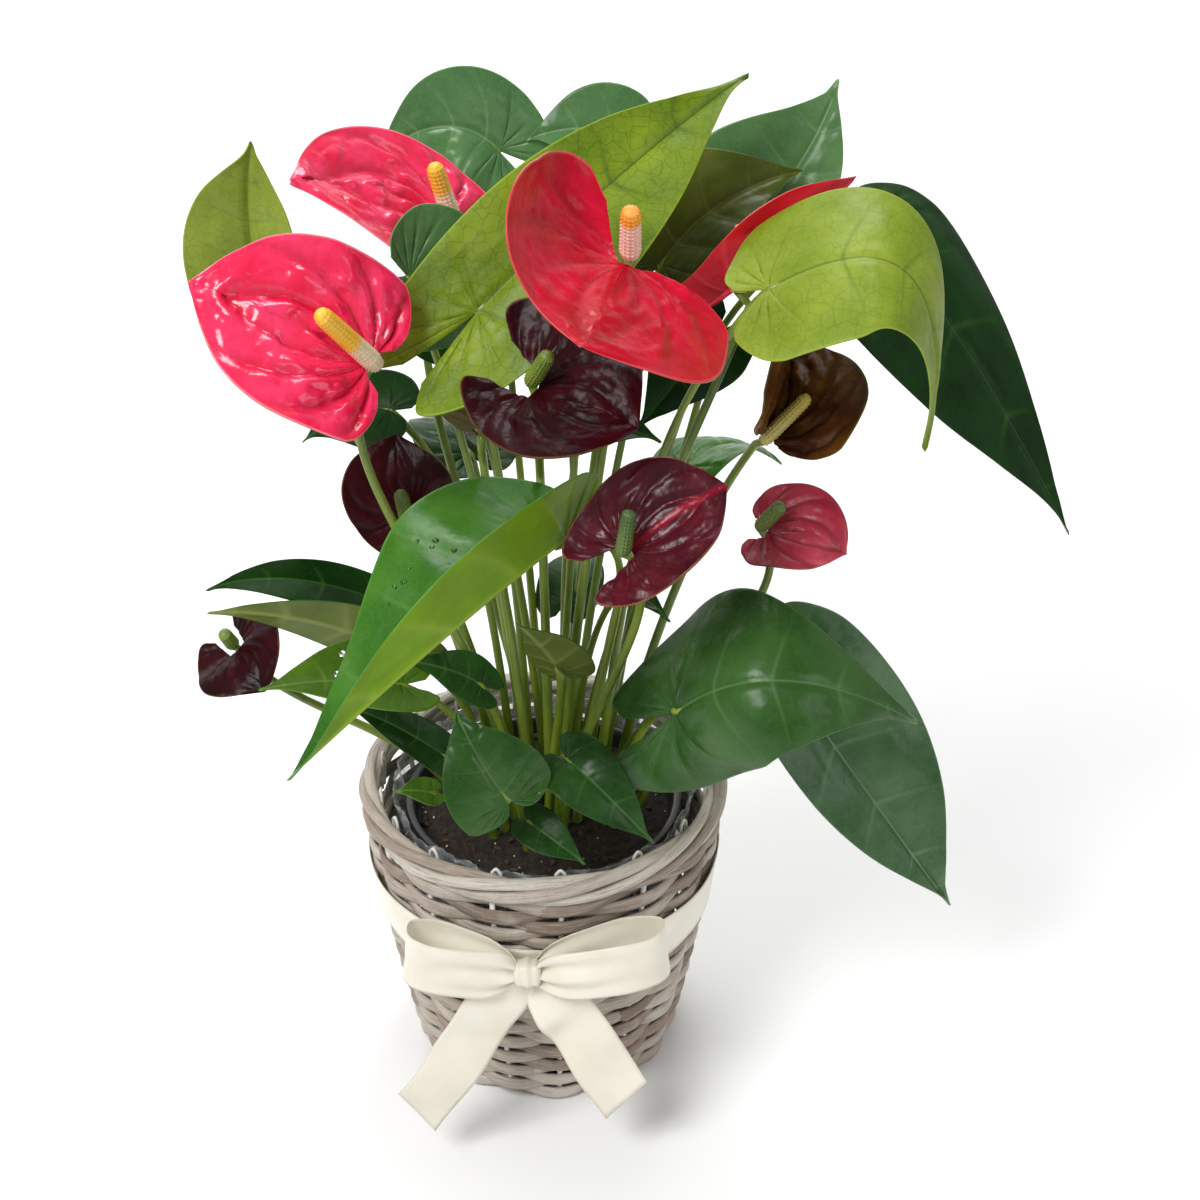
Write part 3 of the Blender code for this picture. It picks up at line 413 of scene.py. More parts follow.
def smooth(points, steps):
    """Catmull-Rom curve through tuples or vectors, with this many steps between two points."""
    points = [Vector(point) for point in points]
    points = [points[0] * 2 - points[1], *points, points[-1] * 2 - points[-2]]
    line = []
    for a, b, c, d in zip(points, points[1:], points[2:], points[3:]):
        bend, turn = a * 2 - b * 5 + c * 4 - d, b * 3 - a - c * 3 + d
        for t in shares(steps)[:-1]:
            line.append((b * 2 + (c - a) * t + bend * t**2 + turn * t**3) / 2)
    line.append(points[-2])
    return line


def tube(points, radii, sides=12, swell=None, caps=True):
    """A tube through points. swell(angle, share) is added to its radius."""
    shape = Shape()
    across = Vector((1, 0, 0))
    rings = []
    last = len(points) - 1
    for index, (point, radius) in enumerate(zip(points, radii)):
        ahead = (points[min(index + 1, last)] - points[max(index - 1, 0)]).normalized()
        across = (across - ahead * across.dot(ahead)).normalized()
        other = ahead.cross(across)
        ring = []
        for angle in angles(sides):
            out = radius + (swell(angle, index / last) if swell else 0.0)
            ring.append(shape.add(point + (across * math.cos(angle) + other * math.sin(angle)) * out))
        rings.append(ring)
    shape.skin(rings, Blade=lambda row, column: (column / sides, row / last))
    if caps:
        shape.cap(rings[0][::-1], Blade=(0.0, 0.0))
        shape.cap(rings[-1], Blade=(0.0, 1.0))
    return shape


def turned(profile, steps, shift=None):
    """A surface turned from (radius, height) points, first to last, with no seam."""
    shape = Shape()
    rings = []
    for radius, height in profile:
        ring = []
        for angle in angles(steps):
            out, rise = shift(angle, radius, height) if shift else (radius, height)
            ring.append(shape.add(on_circle(out, angle, rise)))
        rings.append(ring)
    shape.skin(rings)
    return shape


# ---------------------------------------------------------------- basket


def wall_radius(height):
    share = height / BASKET_HEIGHT
    cone = FOOT_RADIUS + (RIM_RADIUS - FOOT_RADIUS) * share
    return cone + WALL_BELLY * math.sin(math.pi * min(max(share, 0.0), 1.0))


FRONT = -90.0
STAKES = [
    FRONT + turn
    for turn in (-74.6, -58.6, -37.4, -14.8, 6.8, 34.4, 57.4, 79.0, 101, 124, 146, 168, 191, 214, 236, 262)
]
STRIP_PITCH = 5.0
STRIP_THICKNESS = 1.5
STRIP_BACK = 2.9  # how far the middle of the weave lies inside the basket's outer radius
WEAVE_DEPTH = 2.2
# (rise, depth) round a strip, as shares of its height and thickness: a rounded front, then the flat back.
STRIP_SECTION = (
    (-0.5, -0.35), (-0.46, 0.2), (-0.25, 0.46), (0.0, 0.52), (0.25, 0.46), (0.46, 0.2), (0.5, -0.35),
    (0.42, -0.5), (-0.42, -0.5),
)


def weave_phase(degrees):
    """Half turns of the weave up to this angle: it grows by one from each stake to the next."""
    degrees = (degrees - STAKES[0]) % 360.0
    turns = [stake - STAKES[0] for stake in STAKES] + [360.0]
    for index, (low, high) in enumerate(zip(turns, turns[1:])):
        if degrees <= high:
            return index + (degrees - low) / (high - low)
    return float(len(STAKES))


def willow_strip(start, end, row, tone, rng):
    """One flattened strip from one angle to another, passing in front of every other stake."""
    shape = Shape()
    middle = 3.9 + row * STRIP_PITCH
    tall = rng.uniform(7.2, 8.6)
    drift = rng.uniform(-0.5, 0.5)
    offset = rng.uniform(0, 100)
    steps = max(6, int((end - start) / 2.2))
    rings = []
    for share in shares(steps):
        degrees = start + (end - start) * share
        way = math.cos(math.pi * (weave_phase(degrees) + row))
        from_end = min(share, 1 - share) * steps / 3
        height = tall * (0.70 + 0.13 * way) * min(1.0, 0.55 + 0.45 * from_end)
        wander = noise.noise(Vector((degrees * 0.05, row * 3.1, offset)))
        z = max(middle + drift * share + 0.5 * wander, height / 2 + 0.15)
        out = wall_radius(z) - STRIP_BACK + WEAVE_DEPTH * way * (1.0 if way > 0 else 0.9)
        out -= 0.7 * (1 - min(1.0, from_end))
        lean = 0.10 * noise.noise(Vector((degrees * 0.08, row * 1.7, offset + 9)))
        ring = []
        for rise, depth in STRIP_SECTION:
            if depth > -0.5:
                depth += 0.15 * noise.noise(Vector((degrees * 0.3, rise * 6, offset)))
            radius = out + depth * STRIP_THICKNESS + lean * rise * height
            ring.append(shape.add(on_circle(radius, math.radians(degrees), z + rise * height)))
        rings.append(ring)
    length = math.radians(end - start) * wall_radius(middle)
    shape.skin(
        rings, order=(0, 3, 2, 1), Strip=lambda row, column: (length * row / steps + offset, tone),
        Grain=lambda row, column: (0, column / len(STRIP_SECTION)),
    )
    for ring in (rings[0], rings[-1][::-1]):
        shape.cap(ring, Strip=(offset, tone), Grain=(0, 0.5))
    return shape


def lengths_round(rng, shortest, longest, last_start, stop):
    """The (start, end) degrees of lengths laid one after another from a random start, until they meet."""
    begin = rng.uniform(0, 360)
    degrees = begin
    while degrees < begin + last_start:
        span = min(rng.uniform(shortest, longest), begin + stop - degrees)
        yield degrees, degrees + span
        degrees += span


def basket_wall(look):
    """Rows of strips, each row made of a few lengths whose ends overlap."""
    rng = random.Random(11)
    shape = Shape()
    rows = int((BASKET_HEIGHT - BORDER_HEIGHT - 3.0) / STRIP_PITCH)
    for row in range(rows + 1):
        for start, end in lengths_round(rng, 70, 165, 352, 366):
            shape.join(willow_strip(start - 4, end + 4, row, rng.random() ** 0.9, rng))
    shape.piece("basket_wall", "washed_willow", [look], ["basket_wall"])


def rod(line_of, radius, start, end, rng, tone):
    """A round rod along line_of(degrees), a little uneven, with tapering ends."""
    steps = int((end - start) / 2.5)
    points, radii = [], []
    for share in shares(steps):
        degrees = start + (end - start) * share
        points.append(line_of(degrees))
        taper = min(1.0, 0.72 + 0.28 * min(share, 1 - share) * steps / 6)
        radii.append(radius * taper * (1 + 0.10 * noise.noise(Vector((degrees * 0.06, tone * 40, 5)))))
    offset = rng.uniform(0, 100)

    def knobbly(angle, share):
        return 0.16 * noise.noise(Vector((angle * 1.2, share * 25, offset)))

    shape = tube(points, radii, 12, knobbly)
    around = shape.layers.pop("Blade")
    length = math.radians(end - start) * RIM_RADIUS
    shape.layers["Strip"] = [(v * length + offset, tone) for _, v in around]
    shape.layers["Grain"] = [(0, u) for u, _ in around]
    return shape


def basket_border(look):
    """Four rods twisted slowly round each other along the rim."""
    rng = random.Random(4)
    middle = BASKET_HEIGHT - 7.4
    shape = Shape()
    for lead in angles(4):

        def line_of(degrees, lead=lead):
            angle = math.radians(degrees)
            turn = lead + angle * 3.0
            wobble = 0.5 * noise.noise(Vector((degrees * 0.04, lead, 2)))
            out = wall_radius(middle) - 3.9 + 2.3 * math.cos(turn) + wobble
            return on_circle(out, angle, middle + 4.3 * math.sin(turn) + wobble)

        for start, end in lengths_round(rng, 120, 220, 340, 368):
            tone = rng.uniform(0.25, 1.0)
            shape.join(rod(line_of, rng.uniform(2.2, 2.7), start - 3, end + 3, rng, tone))
    shape.piece("basket_border", "washed_willow", [look], ["basket_border"], sharp=60)


def basket_wires(look):
    """The stakes, seen between the strips, and the loops that their tops make inside the rim."""
    shape = Shape()
    rng = random.Random(8)
    foot, loop_foot, loop_waist = 4.0, 122.0, 130.0
    for stake in STAKES:
        angle = math.radians(stake)

        def at(out, z, aside=0.0, angle=angle):
            return on_circle(out, angle, z) + on_circle(aside, angle + math.pi / 2, 0)

        levels = [foot + (loop_foot + 4.0 - foot) * share for share in shares(12)]
        line = [at(wall_radius(z) - STRIP_BACK, z) for z in levels]
        shape.join(tube(line, [1.15] * len(line), 8))
        inside = wall_radius(BASKET_HEIGHT) - 8.9
        lean = rng.uniform(-0.8, 0.8)
        top = BASKET_HEIGHT - 0.6 + rng.uniform(-1.2, 1.2)
        legs = [at(inside + 0.6, loop_foot, -1.7), at(inside, loop_waist, -1.8)]
        legs.append(at(inside, top - 2.2, -1.9 + lean))
        bend = (0.7, 1.3, 1.8, 2.4)
        arc = [at(inside, top - 2.6 + 3.0 * math.sin(t), -1.5 * math.cos(t) + lean) for t in bend]
        back = [at(inside, top - 2.2, 1.9 + lean), at(inside, loop_waist, 1.8)]
        back.append(at(inside + 0.6, loop_foot, 1.7))
        line = smooth([*legs, *arc, *back], 3)
        shape.join(tube(line, [0.7] * len(line), 8))
    hoop = [on_circle(HOOP_RADIUS, math.tau * share, 7.0) for share in shares(72)]
    shape.join(tube(hoop, [1.0] * len(hoop), 8, caps=False))
    shape.piece("basket_stakes", "coated_wire", [look], ["basket_stakes"])


# ---------------------------------------------------------------- liner, pot and soil


def film_liner(look):
    """A thin crumpled bag, with deeper folds and an uneven edge towards its top."""

    def crumple(angle, radius, height):
        way = Vector((math.cos(angle), math.sin(angle), 0))
        share = max(0.0, (height - 20.0) / (FILM_TOP - 20.0))
        fold = noise.noise(way * 7 + Vector((0, 0, height * 0.03)))
        crease = abs(noise.noise(way * 13 + Vector((3, 1, height * 0.06))))
        edge = 2.6 * noise.noise(way * 5 + Vector((8, 2, 0))) if height > FILM_TOP - 3.0 else 0.0
        return radius + share * (3.0 * fold - 3.4 * crease + 1.0), height + edge

    floor, bend, foot, flare = 4.4, 8.0, 46.0, 18.5
    profile = [(2.0, floor), (foot, floor)]
    profile += [(foot + flare * share, bend + (FILM_TOP - bend) * share) for share in shares(40)]
    made = turned(profile, 240, crumple).piece("film_liner", "clear_film", [look], ["film_liner"])
    thick = made.modifiers.new("Thickness", "SOLIDIFY")
    thick.thickness = 0.12 * MM
    thick.offset = 0


def nursery_pot(look):
    lip = POT_TOP - LIP_HEIGHT

    def outside(z):
        share = (z - POT_BOTTOM) / (POT_TOP - POT_BOTTOM)
        return POT_FOOT_RADIUS + (POT_RADIUS - LIP_WIDTH - POT_FOOT_RADIUS) * share

    rolled = (
        (0.6, lip - 0.4), (0.0, lip + 0.4), (0.0, POT_TOP - 0.8), (0.3, POT_TOP - 0.2), (1.2, POT_TOP),
        (2.6, POT_TOP - 0.1), (3.4, POT_TOP - 0.8), (3.7, POT_TOP - 3),
    )
    foot = outside(POT_BOTTOM)
    profile = [(1.0, POT_BOTTOM), (foot - 1, POT_BOTTOM), (foot, POT_BOTTOM + 1)]
    profile += [(outside(z), z) for z in (30, 60, 90, lip - 1)]
    profile += [(POT_RADIUS - inwards, z) for inwards, z in rolled]
    profile += [(outside(z) - POT_WALL, z) for z in (lip, 90, 60, 30, POT_BOTTOM + 2)]
    profile.append((1.0, POT_BOTTOM + POT_WALL))
    turned(profile, 120).piece("nursery_pot", "pot_plastic", [look], ["nursery_pot"], sharp=50)


def soil_height(x, y):
    away = math.hypot(x, y) / 55.0
    crumbs = noise.noise(Vector((x * 0.16, y * 0.16, 3))) * 1.5
    crumbs += noise.noise(Vector((x * 0.5, y * 0.5, 7))) * 0.8
    return SOIL_TOP + 1.2 * (1 - away**2) + crumbs - 0.5


def soil(look, bark, perlite):
    radius = POT_RADIUS - 4.3
    shape = Shape()
    rings = []
    for share in shares(45):
        out = 0.6 + (radius - 0.6) * share
        spots = [(out * math.cos(angle), out * math.sin(angle)) for angle in angles(160)]
        rings.append([shape.add((x, y, soil_height(x, y))) for x, y in spots])
    edge = [shape.points[number] for number in rings[-1]]
    rings.append([shape.add((point.x * 0.75, point.y * 0.75, 8.0)) for point in edge])
    shape.skin(rings, order=(0, 3, 2, 1))
    shape.cap(rings[0])
    shape.cap(rings[-1][::-1])
    shape.piece("soil", "potting_soil", [look], ["soil"])
    for name, material, count, low, high, seed in (
        ("soil_bark", bark, 210, 1.0, 3.4, 21),
        ("soil_perlite", perlite, 60, 0.6, 1.3, 22),
    ):
        rng = random.Random(seed)
        bits = Shape()
        for _ in range(count):
            out, turn = (radius - 2) * math.sqrt(rng.random()), rng.uniform(0, math.tau)
            x, y = out * math.cos(turn), out * math.sin(turn)
            size = rng.uniform(low, high)
            long = rng.uniform(0.9, 1.9) if name == "soil_bark" else 1.0
            tilt = Euler((rng.uniform(-0.6, 0.6), rng.uniform(-0.6, 0.6), rng.uniform(0, 6.3))).to_matrix()
            middle = Vector((x, y, soil_height(x, y) + size * 0.2))
            bits.join(crumb(middle, tilt, (size * long, size * 0.7, size * 0.5), rng))
        bits.piece(name, "potting_soil", [material], sharp=40)


def crumb(middle, tilt, size, rng):
    """A knobbly closed grain: a squashed ball of six-sided rings with every point shifted a little."""
    shape = Shape()
    rings = [[shape.add(middle + tilt @ Vector((0, 0, -size[2] * 0.6)))] * 6]
    for height, width in ((-0.45, 0.4), (0.0, 0.55), (0.4, 0.4)):
        ring = []
        for angle in angles(6):
            x, y = math.cos(angle) * width, math.sin(angle) * width
            spot = Vector((x * size[0], y * size[1], height * size[2]))
            ring.append(shape.add(middle + tilt @ (spot * rng.uniform(0.75, 1.2))))
        rings.append(ring)
    rings.append([shape.add(middle + tilt @ Vector((0, 0, size[2] * 0.6)))] * 6)
    shape.skin(rings)
    return shape


# ---------------------------------------------------------------- leaves and spathes


class Blade:
    """The CAD model's curved blade: a midrib through joint, middle and tip, and two folded, curled halves."""

    STEPS = 32

    def __init__(self, joint, middle, tip, face, half, fold=(8, 8), curl=(0, 0), lift=0.5, lobe=1.0):
        start, through, end = Vector(joint), Vector(middle), Vector(tip)
        curve = [start, through * 2 - (start + end) / 2, end]
        self.points = [bezier(curve, share) for share in shares(self.STEPS)]
        self.length = length_of(self.points)
        self.half = half
        self.fold = [math.radians(angle) for angle in fold]
        self.curl = [math.radians(angle) or 1e-4 for angle in curl]
        self.lift = lift
        self.lobe = lobe if isinstance(lobe, tuple) else (lobe, lobe)
        self.frames = self.carry_frames(Vector(face))

    def carry_frames(self, face):
        ahead = [
            (self.points[min(i + 1, self.STEPS)] - self.points[max(i - 1, 0)]).normalized()
            for i in range(self.STEPS + 1)
        ]
        normals = [None] * (self.STEPS + 1)
        middle = self.STEPS // 2
        for order in (range(middle, self.STEPS + 1), range(middle, -1, -1)):
            normal = face
            for i in order:
                normal = (normal - ahead[i] * normal.dot(ahead[i])).normalized()
                normals[i] = normal
        return [(forward, forward.cross(normal), normal) for forward, normal in zip(ahead, normals)]

    def place(self, along, across, raised=0.0):
        """The point on the upper side at a share along the midrib and a signed share of the half width."""
        side = 1 if across > 0 else 0
        spot = min(max(along, 0.0), 1.0) * self.STEPS
        index = min(int(spot), self.STEPS - 1)
        share = spot - index
        base = self.points[index].lerp(self.points[index + 1], share)
        frames = zip(self.frames[index], self.frames[index + 1])
        _, right, normal = (one.lerp(two, share) for one, two in frames)
        reach, fold, curl = self.half[side], self.fold[side], self.curl[side]
        turn = fold + curl * abs(across)
        out = reach / curl * (math.sin(turn) - math.sin(fold)) - raised * math.sin(turn)
        up = reach / curl * (math.cos(fold) - math.cos(turn)) + raised * math.cos(turn)
        if along < 0:
            base = base + self.frames[0][0] * along * self.length
            up += self.lift * self.length * along**2
        return base + right * (out if across > 0 else -out) + normal * up


def leaf_relief(blade, depth, ripple, seed, veins):
    """Raised quilting between sunken side veins, a sunken midrib and a gently rippled edge."""

    def relief(along, across, share, row, side):
        phase = row * veins
        groove = (0.5 + 0.5 * math.cos(math.tau * phase)) ** 5
        off = abs(across) * blade.half[side]
        fade = (1 - share**4) * min(1.0, off / 4.0)
        fine = noise.noise(Vector((along * 9, across * 7, seed + 4)))
        up = depth * fade * (0.35 - groove + 0.5 * fine) - depth * 1.1 * math.exp(-((off / 1.5) ** 2))
        up += ripple * share**2 * math.sin(math.tau * (1.9 * row + 0.37 * side) + seed)
        up += ripple * 0.8 * noise.noise(Vector((along * 2.2, across * 1.6, seed))) * share
        return up, phase

    return relief


def spathe_relief(blade, depth, ripple, creases, blister, seed):
    """Creases that fan out of the joint and bend towards the tip, with blisters between them."""

    def relief(along, across, share, row, side):
        x, y = along * blade.length, abs(across) * blade.half[side]
        away = math.hypot(x, y)
        turn = math.atan2(y, x) + 0.9 * away / blade.length
        phase = turn * creases / math.pi + 0.5
        groove = (0.5 + 0.5 * math.cos(math.tau * phase)) ** 3
        fade = min(1.0, away / 14.0) * (1 - share**6)
        breaks = noise.noise(Vector((phase * 1.1, away / 15.0, seed + side * 5)))
        bubbles = noise.noise(Vector((phase * 2.3, away / 6.5, seed + 11 + side * 5)))
        fine = noise.noise(Vector((x * 0.35, y * 0.35, seed)))
        up = depth * fade * (0.3 - groove * (1 + 0.6 * breaks))
        up += blister * fade * (2.2 * max(0.0, bubbles + 0.1) + 0.4 * fine)
        up += ripple * share**3 * math.sin(math.tau * (2.3 * row + 0.3 * side) + seed)
        return up, phase

    return relief


def blade_shape(blade, outline, relief, notch, rows_between, steps):
    """The CAD blade's grid made fine: rows from the midrib to the outline, fanning out of the joint."""
    shape = Shape()
    fine = smooth([(along, width, 0) for along, width in outline], rows_between)
    ribs = {}

    def rib(along, raised):
        key = round(along, 4)
        if key not in ribs:
            ribs[key] = shape.add(blade.place(key, 0.0, raised))
        return ribs[key]

    for side, sign, order in ((0, -1, (3, 2, 1, 0)), (1, 1, (0, 1, 2, 3))):
        gap = notch / blade.half[side]
        corner = shape.add(blade.place(0.0, sign * gap)) if notch else None
        rows, veins, spots = [], [], []
        for index, point in enumerate(fine):
            along, width = point.x, max(0.0, point.y)
            along *= blade.lobe[side] if along < 0 else 1.0
            foot = max(0.0, along - 0.25 * width * sum(blade.half) / blade.length)
            start = gap if along < 0 else 0.0
            for row in (rows, veins, spots):
                row.append([])
            for step in range(steps + 1):
                share = 1 - (1 - step / steps) ** 1.15
                bent = share**1.25 if along > 0 else share
                spot, wide = foot + (along - foot) * bent, sign * (start + (width - start) * share)
                up, phase = relief(spot, wide, share, index / (len(fine) - 1), side)
                if step == 0:
                    vertex = corner if start else rib(foot, up if foot > 0 else 0.0)
                elif width < 1e-6:
                    vertex = rows[-1][0]
                else:
                    vertex = shape.add(blade.place(spot, wide, up))
                rows[-1].append(vertex)
                veins[-1].append((phase, share))
                spots[-1].append((spot, wide * blade.half[side]))
        shape.skin(
            rows, closed=False, order=order, Vein=lambda row, column, veins=veins: veins[row][column],
            Blade=lambda row, column, spots=spots: spots[row][column],
        )
    return shape


def blade_piece(name, slot, shape, upper, under, replaces):
    """The modifier makes the upper side as new faces, so it takes the second material."""
    made = shape.piece(name, slot, [under, upper], replaces)
    thick = made.modifiers.new("Thickness", "SOLIDIFY")
    thick.thickness = FINISHED_THICKNESS * MM
    thick.offset = -1
    thick.material_offset = 1
    thick.material_offset_rim = 1


def foot_of(head, nudge):
    away = Vector((head.x - CROWN[0], head.y - CROWN[1]))
    away *= SPREAD_DEPTH / (SPREAD_DEPTH + head.z - SOIL_TOP)
    if away.length > FARTHEST_FOOT:
        away *= FARTHEST_FOOT / away.length
    return Vector((CROWN[0] + away.x + nudge[0], CROWN[1] + away.y + nudge[1], SOIL_TOP + GAP))


def stalk_line(foot, head, arrive, steps=36):
    """From just under the soil's top straight up, then in a curve to the head, which it meets along arrive."""
    upright = foot + Vector((0, 0, FOOT_UPRIGHT))
    span = (head - upright).length
    start = (Vector((0, 0, 1)) + (head - upright).normalized()).normalized()
    ends = [upright, upright + start * span * 0.4, head - arrive.normalized() * span * 0.3, head]
    return [foot - Vector((0, 0, 3)), foot] + [bezier(ends, share) for share in shares(steps)]


def petiole(name, blade, arrive, nudge):
    """The leaf's stalk, with a knee under the blade, running on a little way along its midrib."""
    joint, arrive = blade.points[0], Vector(arrive)
    forward, _, normal = blade.frames[0]
    head = joint - normal * 1.1
    line = stalk_line(foot_of(joint, nudge), head, arrive)
    if forward.dot(arrive) > 0:
        line += [head + forward * reach - normal * 0.1 for reach in (3, 7)]
    else:
        line += [head + arrive.normalized() * reach for reach in (0.5, 1)]
    radii = []
    for share in shares(len(line) - 1):
        knee = 0.35 * math.exp(-(((share - 0.93) / 0.045) ** 2))
        radii.append(PETIOLE_RADIUS * (0.92 + knee) + FOOT_SWELL * (1 - share) ** 1.6)
    radii[-2] *= 0.8
    radii[-1] *= 0.3
    tube(line, radii, 12).piece(f"{name}_petiole", "leaf", [petiole_look])


def spadix_piece(name, base, top, radius, look):
    """A blunt spike set all over with rows of tiny knobs, in a diagonal lattice."""
    line, radii = [], []
    for share in shares(60):
        line.append(base.lerp(top, share))
        cap = math.sqrt(max(0.0, 1 - max(0.0, (share - 0.86) / 0.14) ** 2))
        radii.append(radius * (0.72 + 0.28 * min(1.0, share * 9)) * (1 - 0.14 * share) * max(cap, 0.04))
    turns = (top - base).length / 1.7

    def knobs(angle, share):
        one = math.cos(7 * angle + turns * share * math.pi)
        two = math.cos(7 * angle - turns * share * math.pi)
        return 0.5 * max(0.0, one * two) ** 0.6 * (1 if share < 0.97 else 0.2)

    tube(line, radii, 60, knobs).piece(name, "flower_stalk", [look])


def leaf(name, upper, under, joint, middle, tip, face, half, arrive, nudge=(0, 0), **form):
    """A leaf on its petiole. A filler has no CAD node."""
    blade = Blade(joint, middle, tip, face, half, **form)
    big = max(half) > 20
    depth, ripple, veins, rows, steps = (0.75, 1.3, 9, 10, 26) if big else (0.4, 0.5, 7, 6, 12)
    replaces = [name] if name.startswith("leaf") else []
    seed = int(name[-2:]) * 3.7 + (0 if replaces else 50)
    shape = blade_shape(blade, LEAF_OUTLINE, leaf_relief(blade, depth, ripple, seed, veins), 0.0, rows, steps)
    blade_piece(name, "leaf", shape, leaf_looks[upper], undersides[under], replaces)
    petiole(name, blade, arrive, nudge)
    return blade


def flower(name, kind, relief, spike, joint, middle, tip, face, half, spadix, arrive=None, nudge=(0, 0),
           notch=NOTCH, girth=1.0, **form):
    """A spathe, the stalk that passes it, and the spadix on the stalk's end. relief is its crease depth, edge
    ripple, creases on a side and blister height; spike is the spadix's colours."""
    blade = Blade(joint, middle, tip, face, half, **form)
    rows, steps = (15, 44) if max(half) > 28 else (9, 24)
    shape = blade_shape(
        blade, SPATHE_OUTLINE, spathe_relief(blade, *relief, int(name) * 5.3), notch, rows, steps
    )
    upper, under = (spathe_looks[look] for look in kind)
    slot = "spathe_red" if kind[1] in ("pink underside", "red underside") else "spathe_maroon"
    blade_piece(f"spathe_{name}", slot, shape, upper, under, [f"spathe_{name}"])
    forward, _, normal = blade.frames[0]
    joint = blade.points[0]
    node = joint - forward * (STALK_RADIUS + 4 * GAP) - normal * BLADE_THICKNESS / 2
    arrive = Vector(arrive) if arrive else normal + Vector((0, 0, 0.5))
    line = stalk_line(foot_of(joint, nudge), node - normal * NECK_LENGTH, arrive)
    line += [node, node + normal * NECK_LENGTH / 2, node + normal * (NECK_LENGTH + 0.5)]
    radii = [STALK_RADIUS * 0.95 + FOOT_SWELL * (1 - share) ** 1.6 for share in shares(len(line) - 1)]
    tube(line, radii, 14).piece(f"stalk_{name}", "flower_stalk", [flower_stalk_look], [f"stalk_{name}"])
    base, look = node + normal * (NECK_LENGTH - 0.5), spadix_look(f"spadix {name}", *spike)
    spadix_piece(f"spadix_{name}", base, joint + Vector(spadix), SPADIX_RADIUS * girth, look)


def water_drops(blade):
    """Beads of water lying on the upper side of a leaf."""
    look = Look("water", Transmission_Weight=1.0, IOR=1.33)
    look.set("Roughness", look.spread(look.noise(400.0), 0.0, 1.0, 0.01, 0.04))
    rng = random.Random(3)
    shape = Shape()
    for _ in range(26):
        along, across = rng.uniform(0.15, 0.8), rng.uniform(0.06, 0.75)
        if across > 1 - along * 0.7:
            continue
        radius = rng.uniform(0.5, 1.5)
        middle = blade.place(along, across, -0.1)
        normal = (blade.place(along, across, 1.0) - middle).normalized()
        side = normal.orthogonal().normalized()
        other = normal.cross(side)
        rings = []
        for height in (-0.1, 0.25, 0.5, 0.65):
            out = radius * math.sqrt(max(0.0, 1 - (height / 0.7) ** 2))
            centre = middle + normal * height * radius
            ways = [side * math.cos(angle) + other * math.sin(angle) for angle in angles(14)]
            rings.append([shape.add(centre + way * out) for way in ways])
        shape.skin(rings)
        shape.cap(rings[0][::-1])
        shape.cap(rings[-1])
    shape.piece("water_drops", "leaf", [look.done((1.0, 1.0, 1.0))])


# ---------------------------------------------------------------- ribbon


def ribbon_radius(height):
    return wall_radius(height) + BAND_CLEARANCE


def ribbon(name, line, ways, look, length, steps, closed=False, slant=0.0, puff=None,
           close_up=None):
    """A strip along a line. ways gives its width direction at each point; close_up(share) narrows it, and
    puff(share, across) lifts it off its own plane."""
    shape = Shape()
    rows, travel = [], [0.0]
    last = len(line) - 1
    for index, (point, way) in enumerate(zip(line, ways)):
        if index:
            travel.append(travel[-1] + (point - line[index - 1]).length)
        ahead = line[min(index + 1, last)] - line[max(index - 1, 0)]
        if closed and index in (0, last):
            ahead = line[1] - line[-2]
        ahead.normalize()
        way = (way - ahead * way.dot(ahead)).normalized()
        out = ahead.cross(way)
        share = index / last
        width = RIBBON_WIDTH * (close_up(share) if close_up else 1.0)
        row = []
        for across in shares(steps):
            across -= 0.5
            spot = point + way * across * width + out * (puff(share, across) if puff else 0.0)
            spot += ahead * slant * (across + 0.5) * max(0.0, (share - 0.75) / 0.25)
            row.append(shape.add(spot))
        rows.append(row)
    shape.skin(rows, closed=False, Strip=lambda row, column: (travel[row], column / steps - 0.5))
    made = shape.piece(name, "cream_satin", [look], [name])
    if closed:
        weld = made.modifiers.new("Seam", "WELD")
        weld.merge_threshold = 0.01 * MM
    thick = made.modifiers.new("Thickness", "SOLIDIFY")
    thick.thickness = 0.35 * MM
    thick.offset = 0


def ribbon_band(look):
    line, ways = [], []
    for angle in [*angles(180), math.tau]:
        z = BAND_MIDDLE + 0.7 * math.sin(2 * angle + 0.6)
        line.append(on_circle(ribbon_radius(z) + 0.2, angle, z))
        ways.append(on_circle((ribbon_radius(z + 5) - ribbon_radius(z - 5)) / 10, angle, 1))
    length = math.tau * ribbon_radius(BAND_MIDDLE)
    ribbon(
        "ribbon_band", line, ways, look, length, 10, closed=True,
        puff=lambda share, across: 0.35 * math.sin(share * math.tau * 9) * across,
    )


